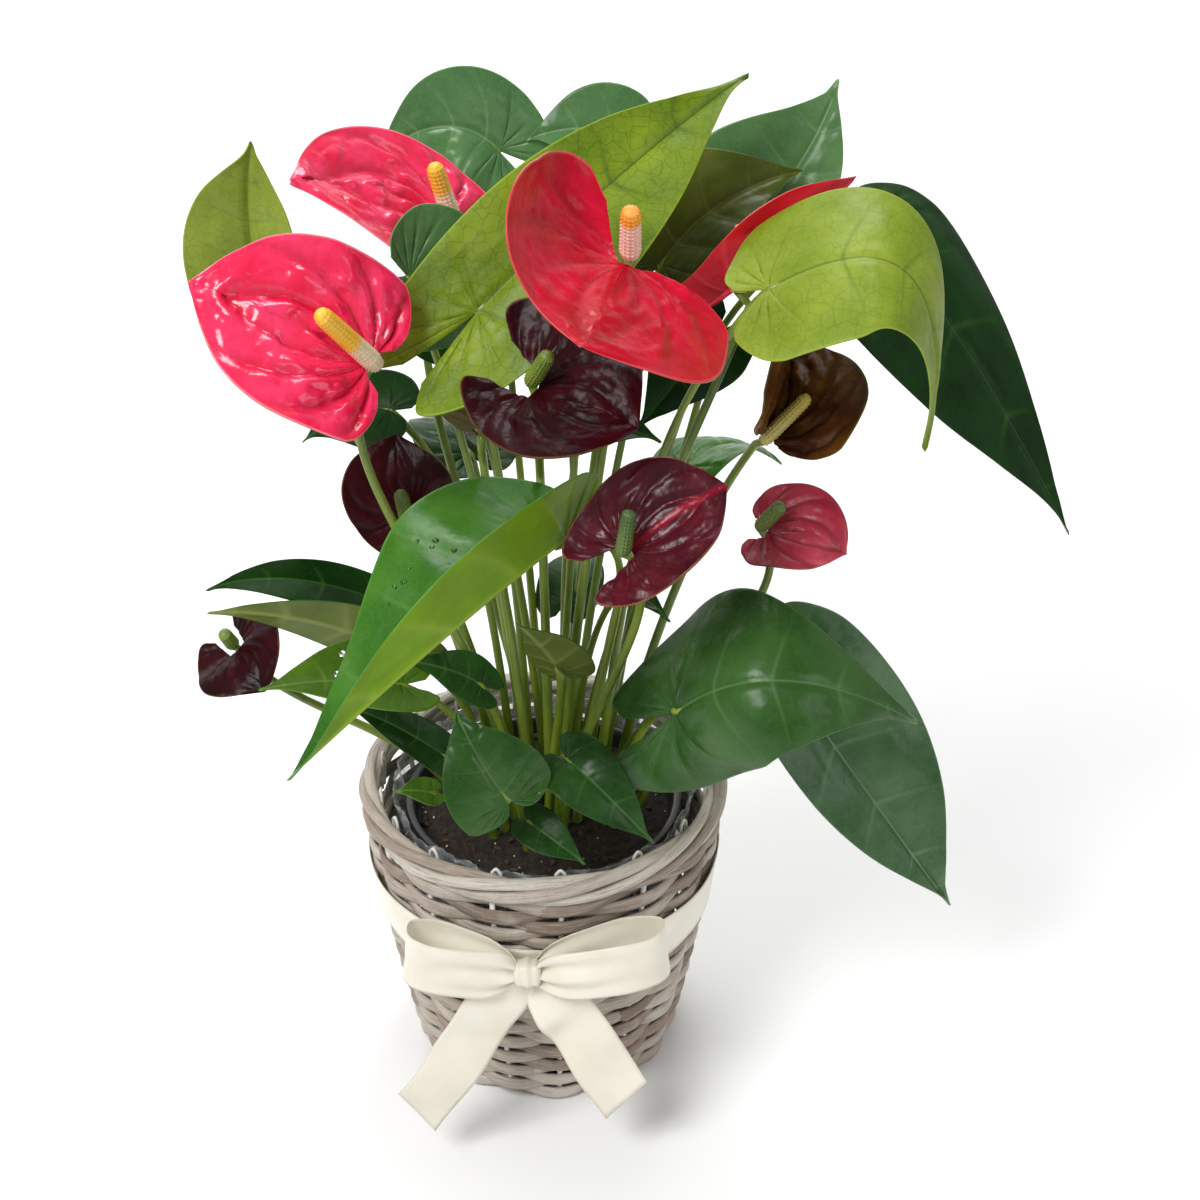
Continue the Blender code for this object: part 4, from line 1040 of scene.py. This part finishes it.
def bow(look):
    knot_depth, knot_height = 11.0, 19.0
    front = -(ribbon_radius(BAND_MIDDLE + RIBBON_WIDTH / 2) + RIBBON_THICKNESS)
    knot = Vector((-5.0, front - GAP - knot_depth / 2, BAND_MIDDLE + 6.0))
    bow_knot(knot, look)

    # A loop leaves the knot at its edge: (share of the reach, depth) out along the front and back behind it.
    edge = 4.5
    loop = (
        (0, -1.0), (0.14, -3.6), (0.35, -5.9), (0.7, -6.6), (0.92, -4.0), (1, 2.0), (0.95, 8.0), (0.7, 10.4),
        (0.35, 6.4), (0.14, 3.0), (0, 1.5),
    )
    for name, side, reach, rise in (("bow_loop_left", -1, 50.0, 9.0), ("bow_loop_right", 1, 57.0, 11.0)):
        out = reach - edge
        line = smooth([knot + Vector((side * (edge + out * s), depth, rise * s)) for s, depth in loop], 6)

        def close_up(share):
            """How much of its width the strip keeps: it is gathered at both ends."""
            end = min(share, 1 - share) / 0.2
            return 0.40 + 0.60 * (1 - (1 - min(1.0, end)) ** 2.2)

        def puff(share, across, side=side):
            end = min(share, 1 - share) / 0.34
            pleats = 2.1 * max(0.0, 1 - end) * math.cos(across * math.tau * 2.2 + 0.7 * side)
            swell = 1.6 * math.sin(math.pi * min(1.0, end)) * math.sin(math.pi * (across + 0.5))
            swell *= share < 0.5
            return pleats + swell + 0.5 * noise.noise(Vector((share * 9, across * 2, side)))

        ways = [Vector((side * -0.10, 0, 1))] * len(line)
        ribbon(
            name, line, ways, look, length_of(line), 20, close_up=close_up, puff=puff
        )

    start, below = knot.z - 4, knot.z - knot_height / 2 - GAP
    left = (
        (-9, -81.5, start), (-13, -83, below), (-21, -84.5, 77), (-30, -88, 62), (-39, -91.5, 48), (-50, -95, 33),
    )
    right = (
        (1, -81.5, start), (5, -83, below), (10, -85.5, 77), (18, -86.0, 64), (27, -91.0, 49), (38, -94, 31),
    )
    for name, points, way, slant, seed, bend in (
        ("ribbon_tail_left", left, (1, 0.1, -0.6), 9.0, 1, 0.0),
        ("ribbon_tail_right", right, (1, 0.1, 0.5), -8.0, 2, 1.8),
    ):
        line = smooth(points, 8)

        def close_up(share):
            return 0.42 + 0.58 * (1 - (1 - min(1.0, share / 0.3)) ** 2)

        def puff(share, across, seed=seed, bend=bend):
            gather = 1.3 * max(0.0, 1 - share / 0.3) * math.cos(across * math.tau * 1.8)
            kink = bend * math.exp(-(((share - 0.42) / 0.07) ** 2))
            waves = 0.9 * math.sin(share * 15 + seed * 2 + across * 2.5) * min(1.0, share * 2)
            return gather + kink * (0.5 - across) + waves

        length = length_of(line) + abs(slant) / 2
        ribbon(
            name, line, [Vector(way)] * len(line), look, length, 14,
            close_up=close_up, puff=puff, slant=slant,
        )


def bow_knot(knot, look):
    """The wrap round the bow's middle: a short barrel of ribbon with folds running round it."""
    shape = Shape()
    around, steps, wide = 48, 18, 11.0
    rings = []
    for share in shares(steps):
        x = share - 0.5
        bulge = 1 - 0.35 * abs(2 * x) ** 3
        ring = []
        for angle in angles(around):
            fold = 0.35 * math.cos(x * math.tau * 2.6 + 0.4 * math.sin(angle))
            depth = (4.9 * bulge + fold) * math.copysign(abs(math.cos(angle)) ** 0.75, math.cos(angle))
            rise = (6.0 * bulge + fold) * math.copysign(abs(math.sin(angle)) ** 0.75, math.sin(angle))
            ring.append(shape.add(knot + Vector((x * wide, depth, rise))))
        rings.append(ring)
    shape.skin(rings, Strip=lambda row, column: (44 * column / around, row / steps - 0.5))
    for ring in (rings[0][::-1], rings[-1]):
        shape.cap(ring, Strip=(0.0, 0.45))
    shape.piece("bow_knot", "cream_satin", [look], ["bow_knot"])


# ---------------------------------------------------------------- studio


def area_light(name, where, aim, size, power):
    data = bpy.data.lights.new(name, "AREA")
    data.shape = "SQUARE"
    data.size = size
    data.energy = power
    lamp = bpy.data.objects.new(name, data)
    lamp.location = where
    lamp.rotation_euler = (Vector(aim) - Vector(where)).to_track_quat("-Z", "Y").to_euler()
    bpy.context.scene.collection.objects.link(lamp)


def studio():
    profile = [(-3.0, 0.0), (1.6, 0.0)]
    profile += [(1.6 + 0.9 * math.sin(t), 0.9 - 0.9 * math.cos(t)) for t in (0.3, 0.6, 0.9, 1.2, 1.5)]
    profile.append((2.5, 3.0))
    points = [(x, y, z - 0.0002) for y, z in profile for x in (-4.0, 4.0)]
    faces = [(2 * i, 2 * i + 1, 2 * i + 3, 2 * i + 2) for i in range(len(profile) - 1)]
    mesh = bpy.data.meshes.new("floor")
    mesh.from_pydata(points, [], faces)
    mesh.materials.append(grained_look("floor", 0.75, (0.90, 0.90, 0.90), (0.92, 0.92, 0.92), (3.0, 2.0)))
    mesh.shade_smooth()
    floor = bpy.data.objects.new("floor", mesh)
    bpy.context.scene.collection.objects.link(floor)

    area_light("key", (-0.8, -0.9, 1.5), (0, 0, 0.2), 0.7, 25)
    area_light("fill", (1.3, -0.9, 0.9), (0, 0, 0.2), 1.0, 6)
    area_light("top", (0.1, 0.5, 1.5), (0, 0, 0.3), 0.5, 7)
    area_light("back", (-0.7, 1.3, 0.9), (0, 0, 0.25), 1.0, 4)
    area_light("backdrop", (0.0, 1.0, 2.0), (0, 2.5, 0.9), 1.2, 26)
    world = bpy.data.worlds.new("studio")
    world.use_nodes = True
    background = world.node_tree.nodes["Background"]
    background.inputs["Color"].default_value = (1.0, 1.0, 1.0, 1.0)
    background.inputs["Strength"].default_value = 0.36
    bpy.context.scene.world = world
    bpy.context.scene.view_settings.view_transform = "Standard"

    camera = bpy.data.objects.new("camera", bpy.data.cameras.new("camera"))
    camera.location = (0.0247, -0.7244, 0.674)
    camera.rotation_euler = (math.radians(58.2), 0.0, 0.0)
    camera.data.lens = 62.1
    camera.data.sensor_width = 36.0
    bpy.context.scene.collection.objects.link(camera)
    bpy.context.scene.camera = camera


def finish_node(node, look):
    """A CAD node that keeps its own mesh takes the finished material on every slot."""
    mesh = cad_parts[node].data
    for index in range(len(mesh.materials)):
        mesh.materials[index] = look
    if not mesh.materials:
        mesh.materials.append(look)


# ---------------------------------------------------------------- the basket and its pot

willow = willow_look()
basket_wall(willow)
basket_border(willow)
wire, board, plastic, bark, perlite = (
    grained_look(*settings)
    for settings in (
        ("coated wire", 0.4, (0.62, 0.60, 0.57), (0.80, 0.79, 0.77), (250.0, 2.0), (700.0, 2.0, 0.2, 0.2)),
        ("basket board", 0.8, (0.30, 0.225, 0.17), (0.46, 0.38, 0.31), (120.0, 4.0), (260.0, 3.0, 0.5, 0.5)),
        ("pot plastic", 0.4, (0.010, 0.010, 0.011), (0.024, 0.024, 0.026), (90.0, 2.0),
         (1200.0, 2.0, 0.15, 0.15)),
        ("bark", 0.85, srgb((26, 19, 13)), srgb((84, 60, 40)), (350.0, 4.0), (900.0, 3.0, 0.6, 0.4),
         (0.35, 0.65)),
        ("perlite", 0.85, srgb((176, 170, 158)), srgb((228, 224, 214)), (350.0, 4.0), (900.0, 3.0, 0.6, 0.4),
         (0.35, 0.65)),
    )
)
basket_wires(wire)
finish_node("basket_base", board)
film_liner(film_look())
nursery_pot(plastic)
soil(soil_look(), bark, perlite)

satin = satin_look()
ribbon_band(satin)
bow(satin)

# ---------------------------------------------------------------- the leaves

petiole_look = stalk_look("petiole", (82, 106, 20), (124, 142, 44))
leaf_looks = {
    kind: leaf_look(f"leaf {kind}", *settings)
    for kind, settings in {
        "dark": ((16, 44, 12), (40, 78, 28), (70, 108, 48), 0.27, 0.08, 0.2),
        "deep": ((8, 36, 6), (20, 56, 12), (52, 90, 34), 0.32, 0.08, 0.12),
        "mid": ((34, 88, 10), (66, 116, 34), (100, 144, 66)),
        "bright": ((54, 88, 14), (80, 116, 30), (110, 140, 58), 0.3, 0.1),
        "young": ((78, 104, 4), (118, 138, 24), (46, 70, 2), 0.4, 0.42),
        "fresh": ((104, 126, 22), (130, 148, 44), (74, 98, 8), 0.42, 0.35),
        "olive": ((48, 60, 4), (74, 84, 12), (100, 106, 42), 0.36, 0.1),
        "grey": ((58, 98, 54), (84, 120, 72), (112, 142, 96), 0.24),
        "wide": ((28, 66, 16), (56, 92, 40), (84, 120, 66), 0.25),
        "slate": ((44, 80, 42), (78, 110, 72), (112, 140, 102), 0.24),
    }.items()
}
undersides = {
    "green": underside_look("leaf underside", (74, 106, 52), (112, 138, 78)),
    "pale": underside_look("leaf pale underside", (108, 132, 74), (142, 160, 104)),
    "fresh": underside_look("leaf fresh underside", (92, 124, 14), (128, 150, 48)),
    "olive": underside_look("leaf olive underside", (84, 98, 40), (126, 134, 70)),
}

# Name, upper side and underside; joint, middle and tip of the midrib; where the face looks; the half widths
# left and right; how the petiole arrives. leaf_06 is 16 mm narrower on its left than the CAD model's.
LEAVES = (
    (("leaf_01", "mid", "fresh", (12, -75, 297), (-30, -125, 286), (-86, -135, 234), (-0.3, -0.35, 0.9),
      (24, 52), (-0.8, -0.6, 0.1)), dict(nudge=(10, 0), fold=(95, 5), curl=(0, 10), lobe=0.8)),
    (("leaf_02", "wide", "green", (54, -76, 222), (92, -98, 251), (147, -75, 216), (0, -0.45, 0.9),
      (42, 36), (0.3, -0.9, 0.4)), dict(nudge=(10, 6), fold=(10, -10), curl=(-20, -75), lobe=1.5)),
    (("leaf_03", "slate", "green", (104, -30, 200), (140, -45, 151), (175, -40, 95), (0.1, -0.85, 0.5),
      (38, 24), (0.9, -0.2, 0.3)), dict(fold=(8, 25), curl=(-15, -10))),
    (("leaf_04", "fresh", "pale", (83, -58, 388), (131, -64, 395), (143, -60, 325), (0.6, -0.45, 0.65),
      (34, 34), (0.6, -0.3, 0.8)), dict(nudge=(5, -6), fold=(0, 0), curl=(-10, -10), lift=0.0, lobe=0.5)),
    (("leaf_05", "deep", "pale", (124, 18, 382), (162, -4, 343), (213, -6, 259), (0.5, -0.6, 0.6),
      (40, 48), (0.95, -0.1, 0.3)), dict(fold=(0, 5), curl=(-20, 0), lift=0.0, lobe=0.4)),
    (("leaf_06", "young", "pale", (-20, -28, 366), (31, -4, 408), (80, 30, 436), (-0.25, -0.8, 0.5),
      (28, 34), (0, -0.3, 1)), dict(nudge=(3, 2), fold=(12, 12), curl=(5, 0), lobe=1.2)),
    (("leaf_07", "olive", "olive", (48, 20, 364), (71, 30, 385), (103, 40, 395), (-0.2, -0.8, 0.5),
      (32, 22), (0.2, 0, 1)), dict(fold=(5, 20))),
    (("leaf_08", "grey", "green", (81, 40, 370), (103, 50, 395), (117, 60, 424), (0, -0.9, 0.4),
      (36, 22), (0.3, 0.1, 1)), dict(fold=(5, 15))),
    (("leaf_09", "grey", "green", (-17, 94, 384), (-40, 90, 395), (-67, 80, 384), (-0.1, -0.75, 0.65),
      (27, 27), (0, 0.1, 1)), dict(fold=(10, 10), lobe=1.2)),
    (("leaf_10", "grey", "green", (34, 98, 387), (16, 99, 391), (-6, 99, 386), (0, -0.8, 0.55),
      (20, 20), (0, 0.2, 1)), dict(fold=(10, 10))),
    (("leaf_11", "grey", "green", (-46, -10, 372), (-28, -2, 360), (-9, 8, 342), (-0.3, -0.7, 0.6),
      (29, 26), (-0.3, 0, 1)), dict(curl=(-10, -10))),
    (("leaf_12", "fresh", "pale", (-108, 20, 354), (-107, 10, 390), (-102, 0, 420), (0, -0.8, 0.5),
      (26, 24), (-0.6, 0.2, 0.9)), dict(fold=(8, 20))),
    (("leaf_13", "deep", "green", (-68, 0, 225), (-102, -10, 241), (-133, -20, 242), (0, -0.4, 0.9),
      (16, 11), (-0.9, 0, 0.5)), dict(fold=(10, 10))),
    (("leaf_14", "dark", "olive", (-57, -20, 213), (-92, -30, 234), (-129, -40, 244), (0, 0.95, 0.3),
      (15, 15), (-0.9, -0.2, 0.5)), dict(fold=(5, 5))),
    (("leaf_15", "bright", "green", (-55, -40, 210), (-78, -55, 222), (-106, -70, 228), (0, -0.5, 0.85),
      (16, 18), (-0.9, -0.3, 0.5)), dict(fold=(15, 15))),
    (("leaf_16", "dark", "green", (-39, -30, 167), (-59, -32, 184), (-78, -30, 192), (-0.1, -0.6, 0.8),
      (9, 9), (-0.9, 0, 0.5)), dict(nudge=(3, -5), fold=(10, 10))),
    (("leaf_17", "dark", "green", (-24, -20, 196), (-36, -24, 206), (-53, -32, 216), (0, -0.6, 0.8),
      (11, 11), (-0.5, 0, 0.9)), dict(nudge=(-4, -6), fold=(5, 5))),
    (("leaf_18", "dark", "olive", (9, -30, 209), (2, -37, 225), (-8, -43, 241), (0.2, 0.9, 0.3),
      (15, 11), (0, -0.4, 0.9)), dict(nudge=(-3, -7), fold=(10, 10))),
    (("leaf_19", "wide", "green", (-11, -78, 181), (-22, -74, 198), (-32, -62, 213), (0, -0.8, 0.6),
      (21, 21), (0, -0.9, 0.3)), dict(nudge=(-3, 0), curl=(-10, -10), lobe=0.6)),
    (("leaf_20", "dark", "green", (12, -65, 191), (28, -77, 182), (46, -79, 160), (0.1, -0.75, 0.65),
      (14, 14), (0.2, -0.9, 0.3)), dict(curl=(-10, -10), lobe=0.7)),
    (("leaf_21", "dark", "green", (-4, -62, 158), (7, -70, 154), (19, -75, 147), (0, -0.6, 0.8),
      (9, 9), (0, -0.9, 0.4)), dict(nudge=(8, -2), lobe=0.7)),
    (("leaf_22", "grey", "green", (55, -25, 169), (67, -25, 173), (83, -22, 170), (0, -0.85, 0.5),
      (11, 11), (0.9, -0.3, 0.3)), {}),
    (("leaf_23", "dark", "green", (14, -16, 307), (31, -20, 314), (48, -26, 311), (0, -0.6, 0.8),
      (11, 11), (0, 0, 1)), dict(nudge=(1, 3), fold=(25, 25))),
    (("leaf_24", "deep", "green", (69, 8, 340), (57, 4, 326), (39, 0, 303), (0.3, -0.8, 0.5),
      (18, 20), (0.2, 0.2, 1)), dict(nudge=(5, -12), fold=(5, 5), curl=(-10, -10))),
    # Small leaves and old blades deep in the plant.
    (("filler_01", "bright", "green", (-43, -52, 165), (-50, -57, 170), (-57, -60, 172), (0, -0.6, 0.8),
      (6, 6), (-0.5, -0.5, 0.6)), {}),
    (("filler_02", "dark", "green", (30, -20, 240), (40, -34, 248), (52, -50, 246), (0, -0.6, 0.8),
      (7, 7), (0.4, -0.4, 0.9)), dict(fold=(12, 12))),
    (("filler_03", "deep", "green", (-34, 30, 330), (-52, 28, 338), (-72, 22, 334), (0, -0.7, 0.7),
      (16, 16), (-0.4, 0.2, 0.9)), dict(curl=(-10, -10))),
    (("filler_04", "deep", "green", (-60, 24, 300), (-78, 30, 296), (-98, 34, 280), (-0.3, -0.5, 0.8),
      (19, 17), (-0.7, 0.2, 0.6)), dict(curl=(-10, -10))),
    (("filler_05", "mid", "green", (22, 60, 300), (34, 78, 304), (46, 98, 290), (0.2, 0.5, 0.8),
      (24, 24), (0.3, 0.7, 0.7)), dict(curl=(-15, -15))),
    (("filler_06", "dark", "green", (-30, 58, 262), (-42, 78, 268), (-52, 98, 256), (-0.2, 0.5, 0.8),
      (22, 22), (-0.3, 0.7, 0.7)), dict(curl=(-15, -15))),
    (("filler_07", "mid", "green", (60, 46, 262), (80, 60, 266), (104, 72, 250), (0.3, 0.4, 0.8),
      (22, 22), (0.7, 0.5, 0.6)), dict(curl=(-15, -15))),
    (("filler_08", "dark", "green", (10, 40, 200), (14, 56, 208), (16, 76, 202), (0, 0.5, 0.8),
      (15, 15), (0, 0.7, 0.6)), dict(curl=(-15, -15))),
)
blades = [leaf(*row, **form) for row, form in LEAVES]
water_drops(blades[0])

# ---------------------------------------------------------------- the flowers

flower_stalk_look = stalk_look("flower stalk", (74, 100, 20), (116, 134, 46))
# The spathe colours are base, deep (painted shade in the creases), light patches and rim.
spathe_looks = {
    kind: spathe_look(f"spathe {kind}", *colours, **settings)
    for kind, colours, settings in (
        ("pink", ((222, 18, 64), (184, 4, 38), (240, 58, 104), (232, 130, 140)),
         dict(roughness=0.2, crease_shade=0.55, coat=0.4, gloss=0.35)),
        ("red", ((176, 0, 26), (124, 0, 14), (206, 8, 50), (206, 84, 80)),
         dict(roughness=0.26, crease_shade=0.4, coat=0.14, gloss=0.15)),
        ("maroon", ((52, 7, 14), (24, 2, 7), (80, 14, 24), (86, 66, 30)), {}),
        ("dark maroon", ((34, 3, 8), (12, 1, 4), (56, 6, 14), (92, 70, 34)), {}),
        ("burgundy", ((60, 9, 20), (30, 3, 10), (92, 18, 34), (128, 84, 40)),
         dict(roughness=0.3, rib=(146, 18, 44), coat=0.03, gloss=0.3)),
        ("mottled", ((166, 38, 62), (100, 22, 34), (206, 76, 96), (136, 84, 60)),
         dict(roughness=0.32, coat=0.05, gloss=0.35)),
        ("withered", ((66, 30, 13), (30, 10, 6), (112, 70, 26), (104, 92, 40)), {}),
    )
}
for kind, *settings in (
    ("pink underside", (196, 44, 74), (214, 96, 110)),
    ("red underside", (168, 12, 26), (196, 66, 78), 0.35),
    ("olive underside", (84, 72, 36), (112, 96, 54)),
    ("maroon underside", (66, 18, 22), (98, 44, 40)),
    ("withered underside", (84, 50, 24), (118, 88, 44)),
):
    spathe_looks[kind] = underside_look(f"spathe {kind}", *settings)
pink, red = ("pink", "pink underside"), ("red", "red underside")
dark, mixed = ("dark maroon", "maroon underside"), ("burgundy", "maroon underside")
mottled, withered = ("mottled", "maroon underside"), ("withered", "withered underside")
bud = ("maroon", "olive underside")
cream = (244, 226, 190)

# Number, looks, relief and spadix colours; joint, middle and tip of the midrib; where the face looks; the half
# widths left and right; the spadix's tip from the joint. Against the CAD model's plan, 02 turns its face to
# the front and is wider, 03 droops on its left, 07 and 10 are wider, and 09 is folded more steeply.
FLOWERS = (
    (("01", pink, (2.3, 0.9, 7, 1.0), (cream, (248, 192, 24), 0.34, 0.46), (-58, -55, 358), (-89, -58, 378),
      (-118, -55, 388), (0.3, -0.65, 0.7), (38, 34), (-14, -16, 27)), dict(curl=(10, 10), lobe=0.5)),
    (("02", pink, (2.1, 0.9, 7, 1.0), (cream, (246, 190, 26), 0.44, 0.56), (-37, 42, 374), (-64, 32, 391),
      (-90, 8, 402), (0, -0.5, 0.86), (42, 30), (-2, -6, 25)),
     dict(fold=(5, 5), curl=(10, 10), lobe=(2.0, 1.5))),
    (("03", red, (0.7, 0.6, 6, 0.45), ((244, 208, 188), (246, 160, 20), 0.68, 0.76), (34, -60, 397),
      (26, -92, 394), (19, -117, 393), (0.1, -0.3, 0.95), (45, 56), (1, -8, 24)),
     dict(fold=(-16, 0), curl=(-15, 85), lift=1.0, lobe=(0.45, 1.8))),
    (("04", red, (0.7, 0.6, 5, 0.4), ((236, 196, 150), (232, 170, 60), 0.5, 0.8), (79, -20, 370),
      (99, -22, 393), (116, -19, 414), (-0.6, 0.4, 0.7), (22, 24), (-2, 10, 23)),
     dict(arrive=(0.35, 0, 1), nudge=(-4, -2), notch=8, fold=(24, 40), curl=(24, 24), lobe=2.2)),
    (("05", dark, (0.9, 0.6, 6, 0.5), ((116, 134, 44), (96, 120, 34)), (3, -62, 351), (21, -76, 351),
      (38, -84, 347), (0.1, -0.45, 0.9), (38, 30), (4, -9, 18)),
     dict(arrive=(0, -0.6, 0.8), notch=5, girth=0.82, fold=(22, 0), curl=(30, 0), lift=1.0, lobe=2.0)),
    (("06", dark, (0.7, 0.4, 6, 0.35), ((104, 112, 50), (84, 104, 40)), (-53, -4, 271), (-56, 0, 285),
      (-56, 8, 297), (-0.1, -0.8, 0.6), (23, 23), (0, -14, 14)),
     dict(nudge=(-1, -4), girth=0.8, curl=(10, 10), lobe=2.2)),
    (("07", mixed, (1.2, 0.6, 7, 0.6), ((96, 116, 56), (64, 92, 40)), (36, -85, 299), (53, -81, 312),
      (70, -75, 319), (-0.1, -0.6, 0.8), (25, 24), (-1, -6, 19)),
     dict(nudge=(-2, -4), girth=0.75, fold=(10, 10), curl=(15, 10), lift=0.8, lobe=1.9)),
    (("08", mottled, (0.9, 0.5, 6, 0.5), ((116, 130, 62), (92, 116, 48)), (90, -30, 275), (106, -37, 277),
      (119, -40, 270), (0, -0.5, 0.85), (20, 20), (4, -6, 15)), dict(notch=4, girth=0.78, curl=(5, 5))),
    (("09", withered, (1.4, 1.5, 8, 0.9), ((206, 190, 110), (188, 168, 70)), (87, -20, 311), (95, -3, 324),
      (98, 14, 331), (0.5, -0.4, 0.75), (46, 38), (16, -6, 20)),
     dict(nudge=(10, 9), notch=4, girth=0.75, fold=(60, 56), lobe=0.6)),
    (("10", dark, (0.6, 0.4, 6, 0.35), ((130, 150, 70), (112, 138, 54)), (-122, -20, 213), (-116, -32, 213),
      (-109, -40, 207), (-0.5, -0.4, 0.8), (21, 21), (-4, -7, 13)),
     dict(notch=4, girth=0.75, curl=(5, 5), lift=0.8, lobe=2.2)),
    (("11", bud, (0.4, 0.3, 5, 0.2), ((150, 150, 80), (140, 140, 60)), (-20, -40, 324), (-26, -46, 333),
      (-33, -52, 336), (0, 0.7, 0.6), (10, 10), (-2, 4, 9)),
     dict(arrive=(0, -0.5, 0.85), nudge=(-3, -5), curl=(5, 5))),
)
for row, form in FLOWERS:
    flower(*row, **form)

studio()
